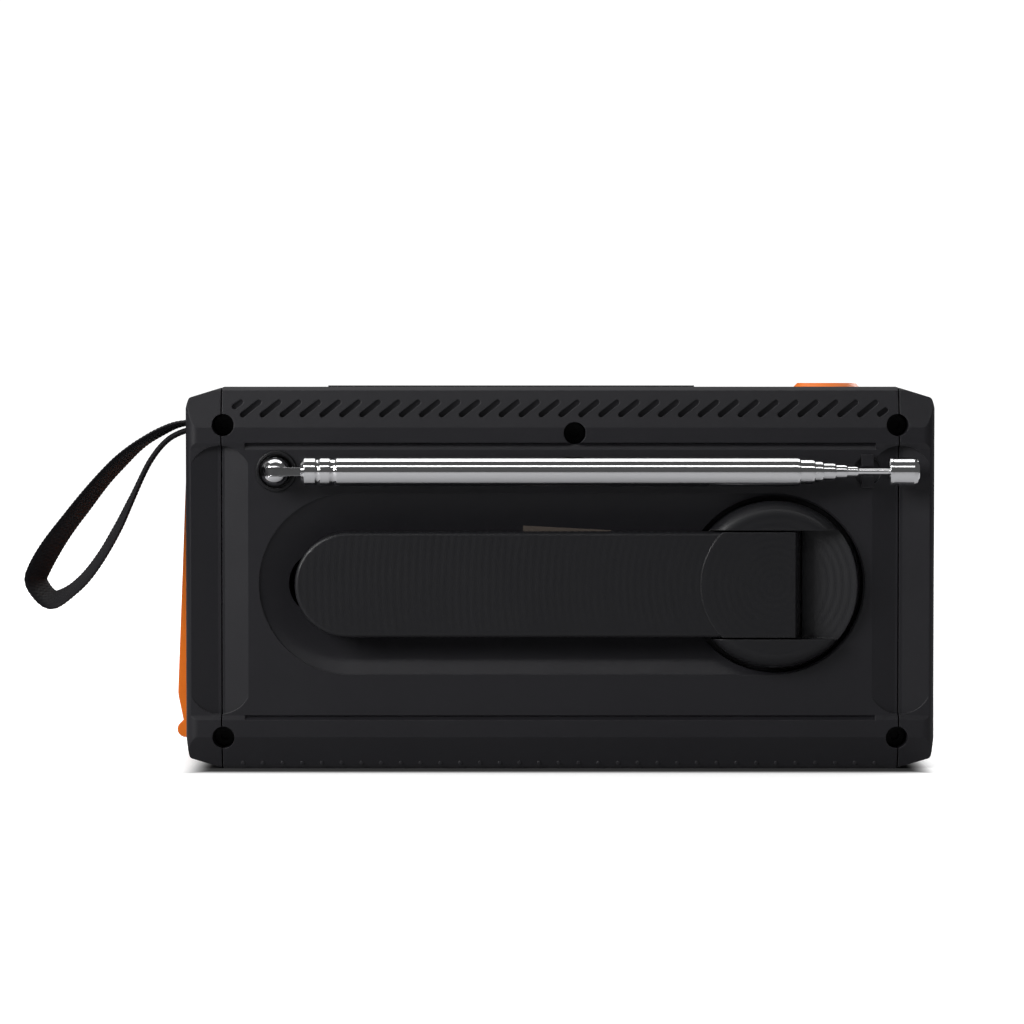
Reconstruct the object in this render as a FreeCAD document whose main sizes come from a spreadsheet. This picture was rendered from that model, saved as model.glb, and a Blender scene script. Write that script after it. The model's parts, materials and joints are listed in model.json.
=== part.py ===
import FreeCAD, Part
import math
import os
import re

import Sketcher
from FreeCAD import Placement, Rotation, Vector

# Emergency radio, millimetres. Origin at the middle of the base, +Z up.
# The loudspeaker and display face -Y. The crank and the telescopic antenna lie on the +Y side.

SIZES = {
    # Case
    "case_width": 176, "case_height": 90, "front_y": -30, "split_y": 18, "panel_y": 28.5,
    "band_rise": 0.6, "wall": 2.2, "top_wall": 4, "front_round": 6, "plan_round": 3,
    "low_band_bottom": 7.7, "low_band_top": 11.8, "high_band_bottom": 76.8, "high_band_top": 80.4,
    "groove_depth": 0.6, "low_groove_top": 12.7, "high_groove_bottom": 75.4, "groove_reach": 74,
    "shoulder_x": 78.8, "cap_corner_x": 87.2, "cap_corner_drop": 2.6, "corner_round": 1.1,
    "slope_run": 2.3, "edge_break": 0.9, "seam_x": 79.5, "seam_gap": 0.3, "screw_x": 79.1,
    # Scooped valley beside the rear panel
    "plateau_x": 73.2, "valley_depth": 1.4, "valley_in_x": 78.8, "valley_out_x": 80.4,
    "valley_rim_x": 86.6, "valley_bottom": 13.6, "valley_top": 75.6, "valley_bulge": 2.6,
    # Slanted slots, and the row of raised pips low down
    "slot_pitch": 4.67, "slot_count": 32, "slot_width": 1.3, "slot_depth": 0.5,
    "slot_first_x": 72.6, "slot_low_z": 83.4, "slot_high_z": 86.3, "slot_lean": 3.75,
    "pip_pitch": 4.65, "pip_count": 33, "pip_radius": 0.4, "pip_rise": 0.5, "pip_z": 1.4,
    # Screws
    "screw_high_z": 81, "screw_low_z": 7.6, "screw_mid_x": -3.4, "screw_mid_z": 79.1,
    "bore_radius": 2.6, "bore_depth": 8, "screw_head": 2.4, "screw_head_height": 2,
    "screw_shank": 1.3, "screw_length": 12, "post_radius": 3.6,
    # Crank recess
    "hub_x": -50.3, "hub_z": 43.7, "recess_left_x": 49.4, "recess_radius": 21.3,
    "recess_depth": 5.1, "recess_step": 0.35, "hub_pocket_radius": 20.9,
    "hub_pocket_depth": 8, "tub_wall": 2,
    # Crank
    "hub_radius": 19.6, "hub_round": 3.4, "hub_height": 5, "hub_base": 7.2,
    "channel_half": 12.75, "channel_floor": 3.8, "ramp_start": 6.5, "ramp_low": -0.8,
    "ramp_high": 3.4, "pin_height": 2, "pin_radius": 1.5, "pin_half": 17,
    "arm_half": 12.3, "arm_top": 4.8, "arm_bottom": 3, "arm_tip_x": 49.8, "arm_heel": 5.5,
    "arm_round": 0.9, "arm_pad_radius": 17.5, "arm_pad_rise": 0.3, "knob_x": 55, "knob_radius": 6,
    "knob_length": 18, "knob_bore": 2.05,
    "knob_pocket_x": 56.2, "knob_pocket_radius": 7.6, "knob_pocket_depth": 23,
    "rivet_radius": 2, "rivet_head": 3.6, "fit_gap": 0.05,
    # Gear train and generator
    "shaft_radius": 4, "shaft_end_radius": 2.5, "shaft_end_y": 1, "bushing_radius": 6.5,
    "first_module": 0.8, "crank_teeth": 42, "idler_pinion_teeth": 14, "first_gear_y": 9,
    "second_module": 0.6, "idler_wheel_teeth": 48, "rotor_teeth": 12, "second_gear_y": 4.6,
    "gear_width": 3.6, "idler_x": -27.9, "rotor_z": 25.7, "axle_radius": 1.5,
    "plate_y": 1.2, "plate_thick": 1.6, "can_radius": 12, "can_depth": 11, "can_wall": 0.9,
    "magnet_radius": 8, "rotor_shaft": 1,
    # Antenna
    "mast_x": 66.6, "mast_z": 70.2, "mast_rise": 4.5, "knuckle_radius": 3.3,
    "knuckle_slot": 2.15, "collar_radius": 4.9, "collar_bore": 4.1,
    "collar_rise": 0.7, "tab_thick": 1.95, "tab_half": 2.3, "tilt_pin_radius": 0.8,
    "tube_start_x": 60.5, "groove_cut": 0.32, "tip_radius": 3.4, "tip_length": 7.1,
    "tip_start_x": -76.6, "rod_radius": 0.75, "clip_x": -72, "clip_notch": 3.3,
    "clip_notch_depth": 1.2, "clip_gap": 2.3, "clip_width": 2.7, "clip_long": 2.8,
    # Top
    "solar_left": -32, "solar_right": 55, "solar_front": -19, "solar_rear": 15,
    "solar_rise": 0.3, "solar_sink": 1.6, "solar_rim": 1.6, "solar_glass": 0.3,
    "sos_x": -64.8, "sos_y": -2, "sos_radius": 8, "sos_rise": 0.9, "sos_skirt": 0.25,
    # Front
    "speaker_x": -42, "speaker_z": 43, "speaker_radius": 29, "grille_radius": 31,
    "display_x": 34, "display_z": 65, "display_half_x": 31,
    "display_half_z": 14.5, "lens_thick": 1.2, "key_z": 42, "key_first_x": 8, "key_pitch": 17.3,
    "key_half_x": 6, "key_half_z": 3, "key_rise": 1.2, "key_travel_gap": 0.2, "knob_z": 19.5,
    "tuning_x": 20, "volume_x": 50, "dial_radius": 10.5, "dial_rise": 6.5, "dial_bore": 3,
    "board_y": -20, "board_thick": 1.6,
    # Ends
    "flap_top_z": 71.4, "flap_bottom_z": 9.8, "flap_crest_z": 16.4, "flap_front_y": -18,
    "flap_rear_y": 9, "flap_thin": 1.3, "flap_thick": 3.45, "flap_bead": 1.95,
    "port_y": -4.5, "port_depth": 12, "usb_a_z": 57, "usb_c_z": 42, "jack_z": 29,
    "strap_y": 14, "strap_width": 10, "strap_z": 82, "strap_thick": 1.4, "strap_pin": 0.9,
    "lamp_radius": 17, "lamp_y": -3, "lamp_z": 45,
    # Power and sound
    "cell_radius": 9.2, "cell_length": 65, "cell_x": 6, "cell_z": 13.2, "cell_front_y": -8.2,
    "cell_rear_y": 11.2, "ferrite_radius": 4.5, "ferrite_x": -8, "ferrite_length": 70,
    "ferrite_y": -8, "ferrite_z": 78,
}

# Outside radius of each antenna section after the first, and where its visible end stands.
SECTION_RADII = [3.5, 3.05, 2.6, 2.15, 1.7, 1.25]
SECTION_ENDS = [-56.0, -59.4, -61.4, -64.3, -67.0, -69.6]

AXIS_TURN = {
    "X": Rotation(Vector(0, 1, 0), 90),
    "Y": Rotation(Vector(1, 0, 0), -90),
    "Z": Rotation(),
}
PLANE_ROLE = {"XY": "XY_Plane", "XZ": "XZ_Plane", "YZ": "YZ_Plane"}

doc = FreeCAD.newDocument("EmergencyRadio")
sheet = doc.addObject("Spreadsheet::Sheet", "Sizes")
nodes = []


def fill_sheet():
    """Write every driving dimension into the sheet as a named cell."""
    for row, (alias, size) in enumerate(SIZES.items(), start=1):
        sheet.set("A%d" % row, alias)
        sheet.set("B%d" % row, str(size))
        sheet.setAlias("B%d" % row, alias)
    doc.recompute()


def cells(text):
    """Point each size name in an expression at its cell."""
    return re.sub(r"[a-z]\w+", lambda word: "Sizes." + word[0] if word[0] in SIZES else word[0], str(text))


def value(text):
    """Present value of an expression, in millimetres."""
    return float(sheet.evalExpression(cells(text)))


def bind(item, prop, text):
    item.setExpression(prop, cells(text))


def place(item, at, turn=Rotation()):
    """Put an object at a point given by three expressions."""
    item.Placement = Placement(Vector(*[value(part) for part in at]), turn)
    for letter, part in zip("xyz", at):
        bind(item, "Placement.Base." + letter, part)


def node(name, item):
    """Mark an object as a finished piece of the radio."""
    item.Label = name
    nodes.append(item)
    return item


def box(name, low, high):
    item = doc.addObject("Part::Box", name)
    for prop, start, end in zip(("Length", "Width", "Height"), low, high):
        bind(item, prop, "(%s) - (%s)" % (end, start))
    place(item, low)
    return item


def cylinder(name, axis, at, radius, length):
    item = doc.addObject("Part::Cylinder", name)
    bind(item, "Radius", radius)
    bind(item, "Height", length)
    place(item, at, AXIS_TURN[axis])
    return item


def fuse(name, *parts):
    if len(parts) == 1:
        return parts[0]
    item = doc.addObject("Part::MultiFuse", name)
    item.Shapes = list(parts)
    return item


def common(name, *parts):
    item = doc.addObject("Part::MultiCommon", name)
    item.Shapes = list(parts)
    return item


def cut(name, base, *tools):
    item = doc.addObject("Part::Cut", name)
    item.Base = base
    item.Tool = tools[0] if len(tools) == 1 else fuse(name + "_tools", *tools)
    return item


def group(name, *parts):
    """Separate solids that share one node."""
    item = doc.addObject("Part::Compound", name)
    item.Links = list(parts)
    return item


def attached_sketch(body, name, plane, offset):
    """A sketch on one of the body's own origin planes, moved along the plane's normal."""
    sketch = body.newObject("Sketcher::SketchObject", name)
    origin_plane = [item for item in body.Origin.OriginFeatures if item.Role == PLANE_ROLE[plane]][0]
    sketch.AttachmentSupport = [(origin_plane, "")]
    sketch.MapMode = "FlatFace"
    bind(sketch, "AttachmentOffset.Base.z", offset)
    return sketch


def pin_point(sketch, geometry, end, at):
    """Hold a sketch point at two expressions measured from the sketch origin."""
    for kind, part in zip(("DistanceX", "DistanceY"), at):
        index = sketch.addConstraint(Sketcher.Constraint(kind, -1, 1, geometry, end, value(part)))
        bind(sketch, "Constraints[%d]" % index, part)


def draw_polygon(sketch, points):
    corners = [Vector(value(across), value(up), 0) for across, up in points]
    for index, corner in enumerate(corners):
        sketch.addGeometry(Part.LineSegment(corner, corners[(index + 1) % len(corners)]))
    for index, at in enumerate(points):
        sketch.addConstraint(Sketcher.Constraint("Coincident", index, 2, (index + 1) % len(points), 1))
        pin_point(sketch, index, 1, at)


def draw_stadium(sketch, first, second, radius):
    """Two half circles joined by tangent lines."""
    start = Vector(value(first[0]), value(first[1]), 0)
    end = Vector(value(second[0]), value(second[1]), 0)
    size = value(radius)
    heading = math.atan2(end.y - start.y, end.x - start.x)
    side = Vector(-math.sin(heading), math.cos(heading), 0) * size
    up = Vector(0, 0, 1)
    right = Part.ArcOfCircle(Part.Circle(end, up, size), heading - math.pi / 2, heading + math.pi / 2)
    left = Part.ArcOfCircle(Part.Circle(start, up, size), heading + math.pi / 2, heading + 3 * math.pi / 2)
    sketch.addGeometry([Part.LineSegment(end + side, start + side), left,
                        Part.LineSegment(start - side, end - side), right])
    for index in range(4):
        sketch.addConstraint(Sketcher.Constraint("Tangent", index, 2, (index + 1) % 4, 1))
    sketch.addConstraint(Sketcher.Constraint("Equal", 1, 3))
    index = sketch.addConstraint(Sketcher.Constraint("Radius", 1, size))
    bind(sketch, "Constraints[%d]" % index, radius)
    pin_point(sketch, 1, 3, first)
    pin_point(sketch, 3, 3, second)


def pad_between(body, sketch, plane, low, high):
    """Pad a sketch so that it fills from low to high along its axis."""
    bind(sketch, "AttachmentOffset.Base.z", "-(%s)" % high if plane == "XZ" else low)
    pad = body.newObject("PartDesign::Pad", body.Name + "_pad")
    pad.Profile = sketch
    bind(pad, "Length", "(%s) - (%s)" % (high, low))
    doc.recompute()
    return pad


def prism(name, plane, points, low, high, rounds=()):
    """Body padded from a polygon; rounds lists (corner numbers, radius)."""
    body = doc.addObject("PartDesign::Body", name)
    sketch = attached_sketch(body, name + "_outline", plane, "0")
    draw_polygon(sketch, points)
    feature = pad_between(body, sketch, plane, low, high)
    for number, (corners, radius) in enumerate(rounds):
        spots = [(value(points[corner][0]), value(points[corner][1])) for corner in corners]
        edges = corner_edges(feature.Shape, plane, spots)
        feature = round_edges(body, feature, edges, radius, number)
    return body


def round_edges(body, feature, edges, radius, number=0):
    """Fillet the named edges of a body's feature."""
    fillet = body.newObject("PartDesign::Fillet", "%s_round_%d" % (body.Name, number))
    fillet.Base = (feature, edges)
    bind(fillet, "Radius", radius)
    doc.recompute()
    return fillet


def corner_edges(shape, plane, spots):
    """Names of the edges that stand square to the plane over the given spots."""
    letters = plane.lower()
    found = []
    for number, edge in enumerate(shape.Edges, start=1):
        ends = [(getattr(end.Point, letters[0]), getattr(end.Point, letters[1])) for end in edge.Vertexes]
        for spot in spots:
            if len(ends) == 2 and all(math.dist(end, spot) < 0.001 for end in ends):
                found.append("Edge%d" % number)
    return found


def stadium(name, plane, first, second, radius, low, high):
    body = doc.addObject("PartDesign::Body", name)
    sketch = attached_sketch(body, name + "_outline", plane, "0")
    draw_stadium(sketch, first, second, radius)
    pad_between(body, sketch, plane, low, high)
    return body


def level_edges(shape, letter, level):
    """Names of the edges that lie wholly at one level along an axis."""
    found = []
    for number, edge in enumerate(shape.Edges, start=1):
        ends = (getattr(edge.BoundBox, letter + "Min"), getattr(edge.BoundBox, letter + "Max"))
        if all(abs(end - level) < 0.001 for end in ends):
            found.append("Edge%d" % number)
    return found


def turned(name, axis, at, profile, top_round=None):
    """Body turned about an axis from (radius, height) corners; top_round fillets its last rim."""
    body = doc.addObject("PartDesign::Body", name)
    sketch = attached_sketch(body, name + "_profile", "XZ", "0")
    draw_polygon(sketch, profile)
    turn = body.newObject("PartDesign::Revolution", name + "_turn")
    turn.Profile = sketch
    turn.ReferenceAxis = (sketch, ["V_Axis"])
    turn.Angle = 360
    if top_round:
        doc.recompute()
        round_edges(body, turn, level_edges(turn.Shape, "Z", turn.Shape.BoundBox.ZMax), top_round)
    place(body, at, AXIS_TURN[axis])
    return body


def row(body, feature, plane_axis, pitch, count, reverse=False):
    """Repeat a pad along one of its body's axes."""
    pattern = body.newObject("PartDesign::LinearPattern", body.Name + "_row")
    pattern.Originals = [feature]
    axis = [item for item in body.Origin.OriginFeatures if item.Role == plane_axis][0]
    pattern.Direction = (axis, [""])
    pattern.Reversed = reverse
    bind(pattern, "Length", "(%s) * (%s - 1)" % (pitch, count))
    bind(pattern, "Occurrences", count)
    body.Tip = pattern
    return pattern


# ---------------------------------------------------------------- case


def case_envelope():
    """Outside of the closed case: its side, rear and plan outlines intersected."""
    crest = "panel_y + band_rise"
    side = [
        ("front_y", "0"), ("panel_y - slope_run - edge_break", "0"), ("panel_y - slope_run", "edge_break"),
        (crest, "low_band_bottom"), (crest, "low_band_top"), ("panel_y", "low_groove_top"),
        ("panel_y", "high_groove_bottom"), (crest, "high_band_bottom"), (crest, "high_band_top"),
        ("panel_y - slope_run / 2 - band_rise", "case_height - edge_break"),
        ("panel_y - slope_run / 2 - band_rise - edge_break", "case_height"), ("front_y", "case_height"),
    ]
    rear = [
        ("-shoulder_x", "0"), ("shoulder_x", "0"), ("cap_corner_x", "cap_corner_drop"),
        ("case_width / 2", "3 * cap_corner_drop"), ("case_width / 2", "case_height - 2 * cap_corner_drop"),
        ("cap_corner_x", "case_height - cap_corner_drop"), ("shoulder_x", "case_height"),
        ("-shoulder_x", "case_height"), ("-cap_corner_x", "case_height - cap_corner_drop"),
        ("-case_width / 2", "case_height - 2 * cap_corner_drop"), ("-case_width / 2", "3 * cap_corner_drop"),
        ("-cap_corner_x", "cap_corner_drop"),
    ]
    plan = [
        ("-case_width / 2", "front_y"), ("case_width / 2", "front_y"),
        ("case_width / 2", crest), ("-case_width / 2", crest),
    ]
    return common(
        "case_envelope",
        prism("case_side", "YZ", side, "-case_width / 2 - wall", "case_width / 2 + wall",
              [((0, len(side) - 1), "front_round")]),
        prism("case_rear", "XZ", rear, "front_y - wall", "panel_y + wall", [((2, 5, 8, 11), "corner_round")]),
        prism("case_plan", "XY", plan, "-wall", "case_height + wall",
              [((0, 1), "front_round"), ((2, 3), "plan_round")]),
    )


def band_grooves():
    """Thin V grooves where the rear panel meets the two bands, between the valleys."""
    above = "panel_y + 2 * band_rise"
    root = "panel_y - groove_depth"
    low = [("panel_y", "low_groove_top + 0.1"), (root, "low_groove_top - 0.25"),
           ("panel_y + band_rise", "low_band_top - 0.1"), (above, "low_groove_top + 0.1")]
    high = [("panel_y", "high_groove_bottom - 0.2"), (root, "high_band_bottom - 0.35"),
            ("panel_y + band_rise", "high_band_bottom + 0.1"), (above, "high_groove_bottom - 0.2")]
    return fuse("band_grooves", prism("low_groove", "YZ", low, "-groove_reach", "groove_reach"),
                prism("high_groove", "YZ", high, "-groove_reach", "groove_reach"))


def side_valley(side):
    """Scoop along one end of the rear panel, with an arched top and bottom."""
    label = "left" if side == "" else "right"
    floor = "panel_y - valley_depth"
    above = "panel_y + 2 * band_rise"
    edge = "(valley_rim_x - valley_out_x) / valley_depth * 2 * band_rise"
    flank = "(valley_in_x - plateau_x) / valley_depth * 2 * band_rise"
    trough = prism("valley_trough_" + label, "XY", [
        (side + "(plateau_x - %s)" % flank, above), (side + "(valley_in_x)", floor),
        (side + "(valley_out_x)", floor), (side + "(valley_rim_x + %s)" % edge, above),
    ], "valley_bottom - valley_bulge", "valley_top + valley_bulge")
    arch = stadium(
        "valley_arch_" + label, "XZ",
        (side + "((plateau_x + valley_rim_x) / 2)", "valley_bottom + (valley_rim_x - plateau_x) / 2"),
        (side + "((plateau_x + valley_rim_x) / 2)", "valley_top - (valley_rim_x - plateau_x) / 2"),
        "(valley_rim_x - plateau_x) / 2 + band_rise", floor, above)
    return common("valley_" + label, trough, arch)


def screw_spots():
    return [("screw_x", "screw_high_z"), ("screw_x", "screw_low_z"), ("-screw_x", "screw_high_z"),
            ("-screw_x", "screw_low_z"), ("screw_mid_x", "screw_mid_z")]


def screw_bores():
    """Counterbore and shank hole for every case screw."""
    parts = []
    for number, (across, up) in enumerate(screw_spots(), start=1):
        parts.append(cylinder("bore_%d" % number, "Y", (across, "panel_y - bore_depth", up),
                              "bore_radius", "bore_depth + wall"))
        parts.append(cylinder("shank_%d" % number, "Y", (across, "split_y - screw_length", up),
                              "screw_shank + fit_gap", "screw_length + bore_depth"))
    return fuse("screw_bores", *parts)


def screw_bosses(name, low, high, numbers):
    """Round posts between two depths at the chosen screws."""
    spots = screw_spots()
    parts = []
    for number in numbers:
        across, up = spots[number]
        parts.append(cylinder("%s_post_%d" % (name, number), "Y", (across, low, up),
                              "post_radius", "(%s) - (%s)" % (high, low)))
    return fuse(name, *parts)


def slant_slots():
    """Row of leaning slots in the top slope, with a short one at each end."""
    body = doc.addObject("PartDesign::Body", "slant_slots")
    sketch = attached_sketch(body, "slant_slot_outline", "XZ", "0")
    draw_stadium(sketch, ("slot_first_x + slot_lean / 2", "slot_low_z"),
                 ("slot_first_x - slot_lean / 2", "slot_high_z"), "slot_width / 2")
    pad = pad_between(body, sketch, "XZ", "panel_y - slope_run / 2 - slot_depth", "panel_y + wall")
    row(body, pad, "X_Axis", "slot_pitch", "slot_count", reverse=True)
    ends = []
    for label, spot, lift in (("left", "slot_first_x + slot_pitch * 0.66", "slot_high_z - 1"),
                              ("right", "slot_first_x - slot_pitch * (slot_count - 0.26)",
                               "slot_low_z + 0.1")):
        ends.append(stadium("short_slot_" + label, "XZ", ("%s + 0.7" % spot, lift),
                            ("%s - 0.7" % spot, lift + " + 1"), "slot_width / 2",
                            "panel_y - slope_run / 2 - slot_depth", "panel_y + wall"))
    return fuse("slot_row", body, *ends)


def foot_pips():
    """Row of tiny raised pips along the lower slope."""
    body = doc.addObject("PartDesign::Body", "foot_pips")
    sketch = attached_sketch(body, "foot_pip_outline", "XZ", "0")
    centre = ("pip_pitch * (pip_count - 1) / 2 + 0.3", "pip_z")
    spot = Vector(value(centre[0]), value(centre[1]), 0)
    sketch.addGeometry(Part.Circle(spot, Vector(0, 0, 1), value("pip_radius")))
    index = sketch.addConstraint(Sketcher.Constraint("Radius", 0, value("pip_radius")))
    bind(sketch, "Constraints[%d]" % index, "pip_radius")
    pin_point(sketch, 0, 3, centre)
    pad = pad_between(body, sketch, "XZ", "panel_y - slope_run", "panel_y - slope_run + pip_rise")
    row(body, pad, "X_Axis", "pip_pitch", "pip_count", reverse=True)
    return body


def dish_bend():
    """Radius of the dished recess floor, from its half width and its sag."""
    sag = "(recess_depth - recess_step)"
    return "((recess_radius * recess_radius + %s * %s) / (2 * %s))" % (sag, sag, sag)


def recess_dish():
    """Shallow round-ended dish that the arm folds into, deepest along its middle."""
    bend = dish_bend()
    centre_y = "panel_y - recess_depth + " + bend
    parts = [cylinder("dish_middle", "X", ("hub_x", centre_y, "hub_z"), bend, "recess_left_x - hub_x")]
    for label, across in (("left", "recess_left_x"), ("right", "hub_x")):
        end = doc.addObject("Part::Sphere", "dish_" + label)
        bind(end, "Radius", bend)
        place(end, (across, centre_y, "hub_z"))
        parts.append(end)
    outline = stadium("recess_outline", "XZ", ("recess_left_x", "hub_z"), ("hub_x", "hub_z"),
                      "recess_radius", "panel_y - 2 * recess_depth", "panel_y + band_rise / 2")
    return common("recess_dish", fuse("dish_parts", *parts), outline)


def make_case():
    envelope = case_envelope()
    valleys = fuse("valleys", side_valley(""), side_valley("-"))
    shaped = cut("case_shaped", envelope, valleys, band_grooves())
    bores = screw_bores()
    inner = "seam_x - seam_gap / 2"
    far_y = "panel_y + 2 * wall"
    make_front_case(shaped, bores, inner)
    make_rear_cover(shaped, bores, inner, far_y)
    make_end_caps(shaped, bores, far_y)
    make_screws()


def make_front_case(shaped, bores, inner):
    block = common("front_block", shaped,
                   box("front_slab", ("-(%s)" % inner, "front_y", "-wall"),
                       (inner, "split_y", "case_height + wall")))
    cavity = box("front_cavity", ("wall - seam_x", "front_y + wall", "wall"),
                 ("seam_x - wall", "split_y + wall", "case_height - top_wall"))
    posts = screw_bosses("front_posts", "split_y - screw_length", "split_y", range(5))
    openings = fuse(
        "front_openings",
        cylinder("grille_hole", "Y", ("speaker_x", "front_y - wall", "speaker_z"),
                 "speaker_radius - 2", "3 * wall"),
        cylinder("grille_seat", "Y", ("speaker_x", "front_y - wall", "speaker_z"),
                 "grille_radius", "wall + 1.2"),
        box("display_hole", ("display_x - display_half_x + 3", "front_y - wall",
                             "display_z - display_half_z + 3"),
            ("display_x + display_half_x - 3", "front_y + 2 * wall", "display_z + display_half_z - 3")),
        box("display_seat", ("display_x - display_half_x", "front_y - wall", "display_z - display_half_z"),
            ("display_x + display_half_x", "front_y + lens_thick", "display_z + display_half_z")),
        cylinder("tuning_hole", "Y", ("tuning_x", "front_y - wall", "knob_z"), "dial_bore + 1", "3 * wall"),
        cylinder("volume_hole", "Y", ("volume_x", "front_y - wall", "knob_z"), "dial_bore + 1", "3 * wall"),
        box("solar_seat", ("solar_left", "solar_front", "case_height - solar_sink"),
            ("solar_right", "solar_rear", "case_height + wall")),
        cylinder("sos_hole", "Z", ("sos_x", "sos_y", "case_height - top_wall - wall"),
                 "sos_radius + sos_skirt", "3 * top_wall"),
        box("socket_window", ("seam_x - 2 * wall", "port_y - 5", "jack_z - 5"),
            ("seam_x + wall", "port_y + 5", "usb_a_z + 8")),
        cylinder("lamp_window", "X", ("-seam_x - wall", "lamp_y", "lamp_z"), "lamp_radius - 4", "3 * wall"),
        *[box("key_hole_%d" % number,
              (key_x(number) + " - key_half_x - key_travel_gap", "front_y - wall",
               "key_z - key_half_z - key_travel_gap"),
              (key_x(number) + " + key_half_x + key_travel_gap", "front_y + 2 * wall",
               "key_z + key_half_z + key_travel_gap"))
          for number in range(4)],
    )
    rib = box("mid_post_rib", ("screw_mid_x - wall / 2", "split_y - screw_length", "screw_mid_z"),
              ("screw_mid_x + wall / 2", "split_y", "case_height - wall"))
    shell = fuse("front_shell", cut("front_hollow", block, cavity), posts, rib)
    node("front_case", cut("front_case", shell, bores, openings))


def key_x(number):
    return "key_first_x + key_pitch * %d" % number


def make_rear_cover(shaped, bores, inner, far_y):
    slab = box("rear_slab", ("-(%s)" % inner, "split_y", "-wall"), (inner, far_y, "case_height + wall"))
    block = common("rear_block", shaped, slab)
    cavity = box("rear_cavity", ("wall - seam_x", "split_y - wall", "low_band_bottom - wall"),
                 ("seam_x - wall", "panel_y - 1.2 * wall", "high_band_top + wall"))
    low_cavity = box("rear_rim_cavity", ("wall - seam_x", "split_y - wall", "wall"),
                     ("seam_x - wall", "panel_y - slope_run - 1.6 * wall", "case_height - top_wall"))
    hollow = cut("rear_hollow", block, cavity, low_cavity)
    tub = fuse(
        "recess_tub",
        stadium("tub_wall_outline", "XZ", ("recess_left_x", "hub_z"), ("hub_x", "hub_z"),
                "recess_radius + tub_wall", "panel_y - recess_depth - tub_wall", "panel_y - wall / 2"),
        cylinder("hub_tub", "Y", ("hub_x", "split_y", "hub_z"), "recess_radius + tub_wall",
                 "panel_y - wall - split_y"),
        cylinder("knob_tub", "Y", ("knob_pocket_x", "panel_y - knob_pocket_depth - tub_wall", "hub_z"),
                 "knob_pocket_radius + tub_wall / 2", "knob_pocket_depth - wall"),
        cylinder("mast_boss", "Y", ("mast_x", "split_y", "mast_z"), "collar_radius + wall",
                 "panel_y - wall - split_y"),
        cylinder("clip_boss", "Y", ("clip_x", "split_y + 2 * wall", "mast_z"), "clip_notch + wall / 2",
                 "panel_y - 3 * wall - split_y"),
    )
    hollows = fuse(
        "rear_hollows",
        recess_dish(),
        cylinder("hub_pocket", "Y", ("hub_x", "panel_y - hub_pocket_depth", "hub_z"),
                 "hub_pocket_radius", "hub_pocket_depth + wall"),
        cylinder("shaft_hole", "Y", ("hub_x", "split_y - wall", "hub_z"), "bushing_radius", "2 * top_wall"),
        cylinder("knob_pocket", "Y", ("knob_pocket_x", "panel_y - knob_pocket_depth", "hub_z"),
                 "knob_pocket_radius", "knob_pocket_depth"),
        cylinder("mast_hole", "Y", ("mast_x", "split_y - wall", "mast_z"), "collar_bore + 0.4", "20"),
        cylinder("clip_hollow", "Y", ("clip_x", "panel_y - clip_notch_depth", "mast_z"), "clip_notch",
                 "wall"),
    )
    solid = fuse("rear_solid", hollow, tub, screw_bosses("rear_posts", "split_y", "panel_y - wall", (4,)),
                 common("rear_end_posts",
                        screw_bosses("rear_half_posts", "split_y", "panel_y - wall", range(4)),
                        box("rear_post_slab", ("-(%s)" % inner, "split_y", "0"),
                            (inner, far_y, "case_height"))))
    carved = cut("rear_carved", solid, bores, hollows)
    detailed = cut("rear_detailed", carved, slant_slots())
    prongs = []
    for label, low in (("upper", "mast_z + clip_gap / 2"), ("lower", "mast_z - clip_gap / 2 - clip_width")):
        prongs.append(box("clip_prong_" + label,
                          ("clip_x - clip_long / 2", "panel_y - clip_notch_depth - 0.3", low),
                          ("clip_x + clip_long / 2", "panel_y + clip_notch_depth", low + " + clip_width")))
    node("rear_cover", fuse("rear_cover", detailed, foot_pips(), *prongs))


def make_end_caps(shaped, bores, far_y):
    start = "seam_x + seam_gap / 2"
    for name, side in (("strap_end_cap", ""), ("lamp_end_cap", "-")):
        near = [side + "(%s)" % start, side + "(case_width / 2 + wall)"]
        near.sort(key=value)
        block = common(name + "_block", shaped,
                       box(name + "_slab", (near[0], "front_y", "-wall"),
                           (near[1], far_y, "case_height + wall")))
        hollow = [side + "(seam_x - wall)", side + "(case_width / 2 - wall)"]
        hollow.sort(key=value)
        cavity = box(name + "_cavity", (hollow[0], "front_y + 2 * wall", "1.5 * wall"),
                     (hollow[1], "panel_y - valley_depth - wall", "case_height - 2 * wall"))
        numbers = (0, 1) if side == "" else (2, 3)
        posts = common(name + "_posts",
                       screw_bosses(name + "_round_posts", "split_y + 0.1", "panel_y - wall", numbers),
                       box(name + "_post_slab", (near[0], "split_y", "wall / 2"),
                           (near[1], "panel_y", "case_height - wall / 2")))
        shell = fuse(name + "_shell", cut(name + "_hollow", block, cavity), posts)
        if side == "":
            shell = fuse(name + "_lugged", shell, *strap_lugs())
        openings = strap_end_openings() if side == "" else lamp_end_openings()
        node(name, cut(name, shell, bores, *openings))


def strap_lugs():
    """Two lugs inside the end cap that hold the ends of the strap pin."""
    return [box("strap_lug_%d" % number, ("case_width / 2 - 5", low, "strap_z - 4"),
                ("case_width / 2 - 1", low + " + 1.4", "strap_z + 0.6"))
            for number, low in enumerate(("strap_y - 2.4", "strap_y + strap_width + 1"))]


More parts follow.
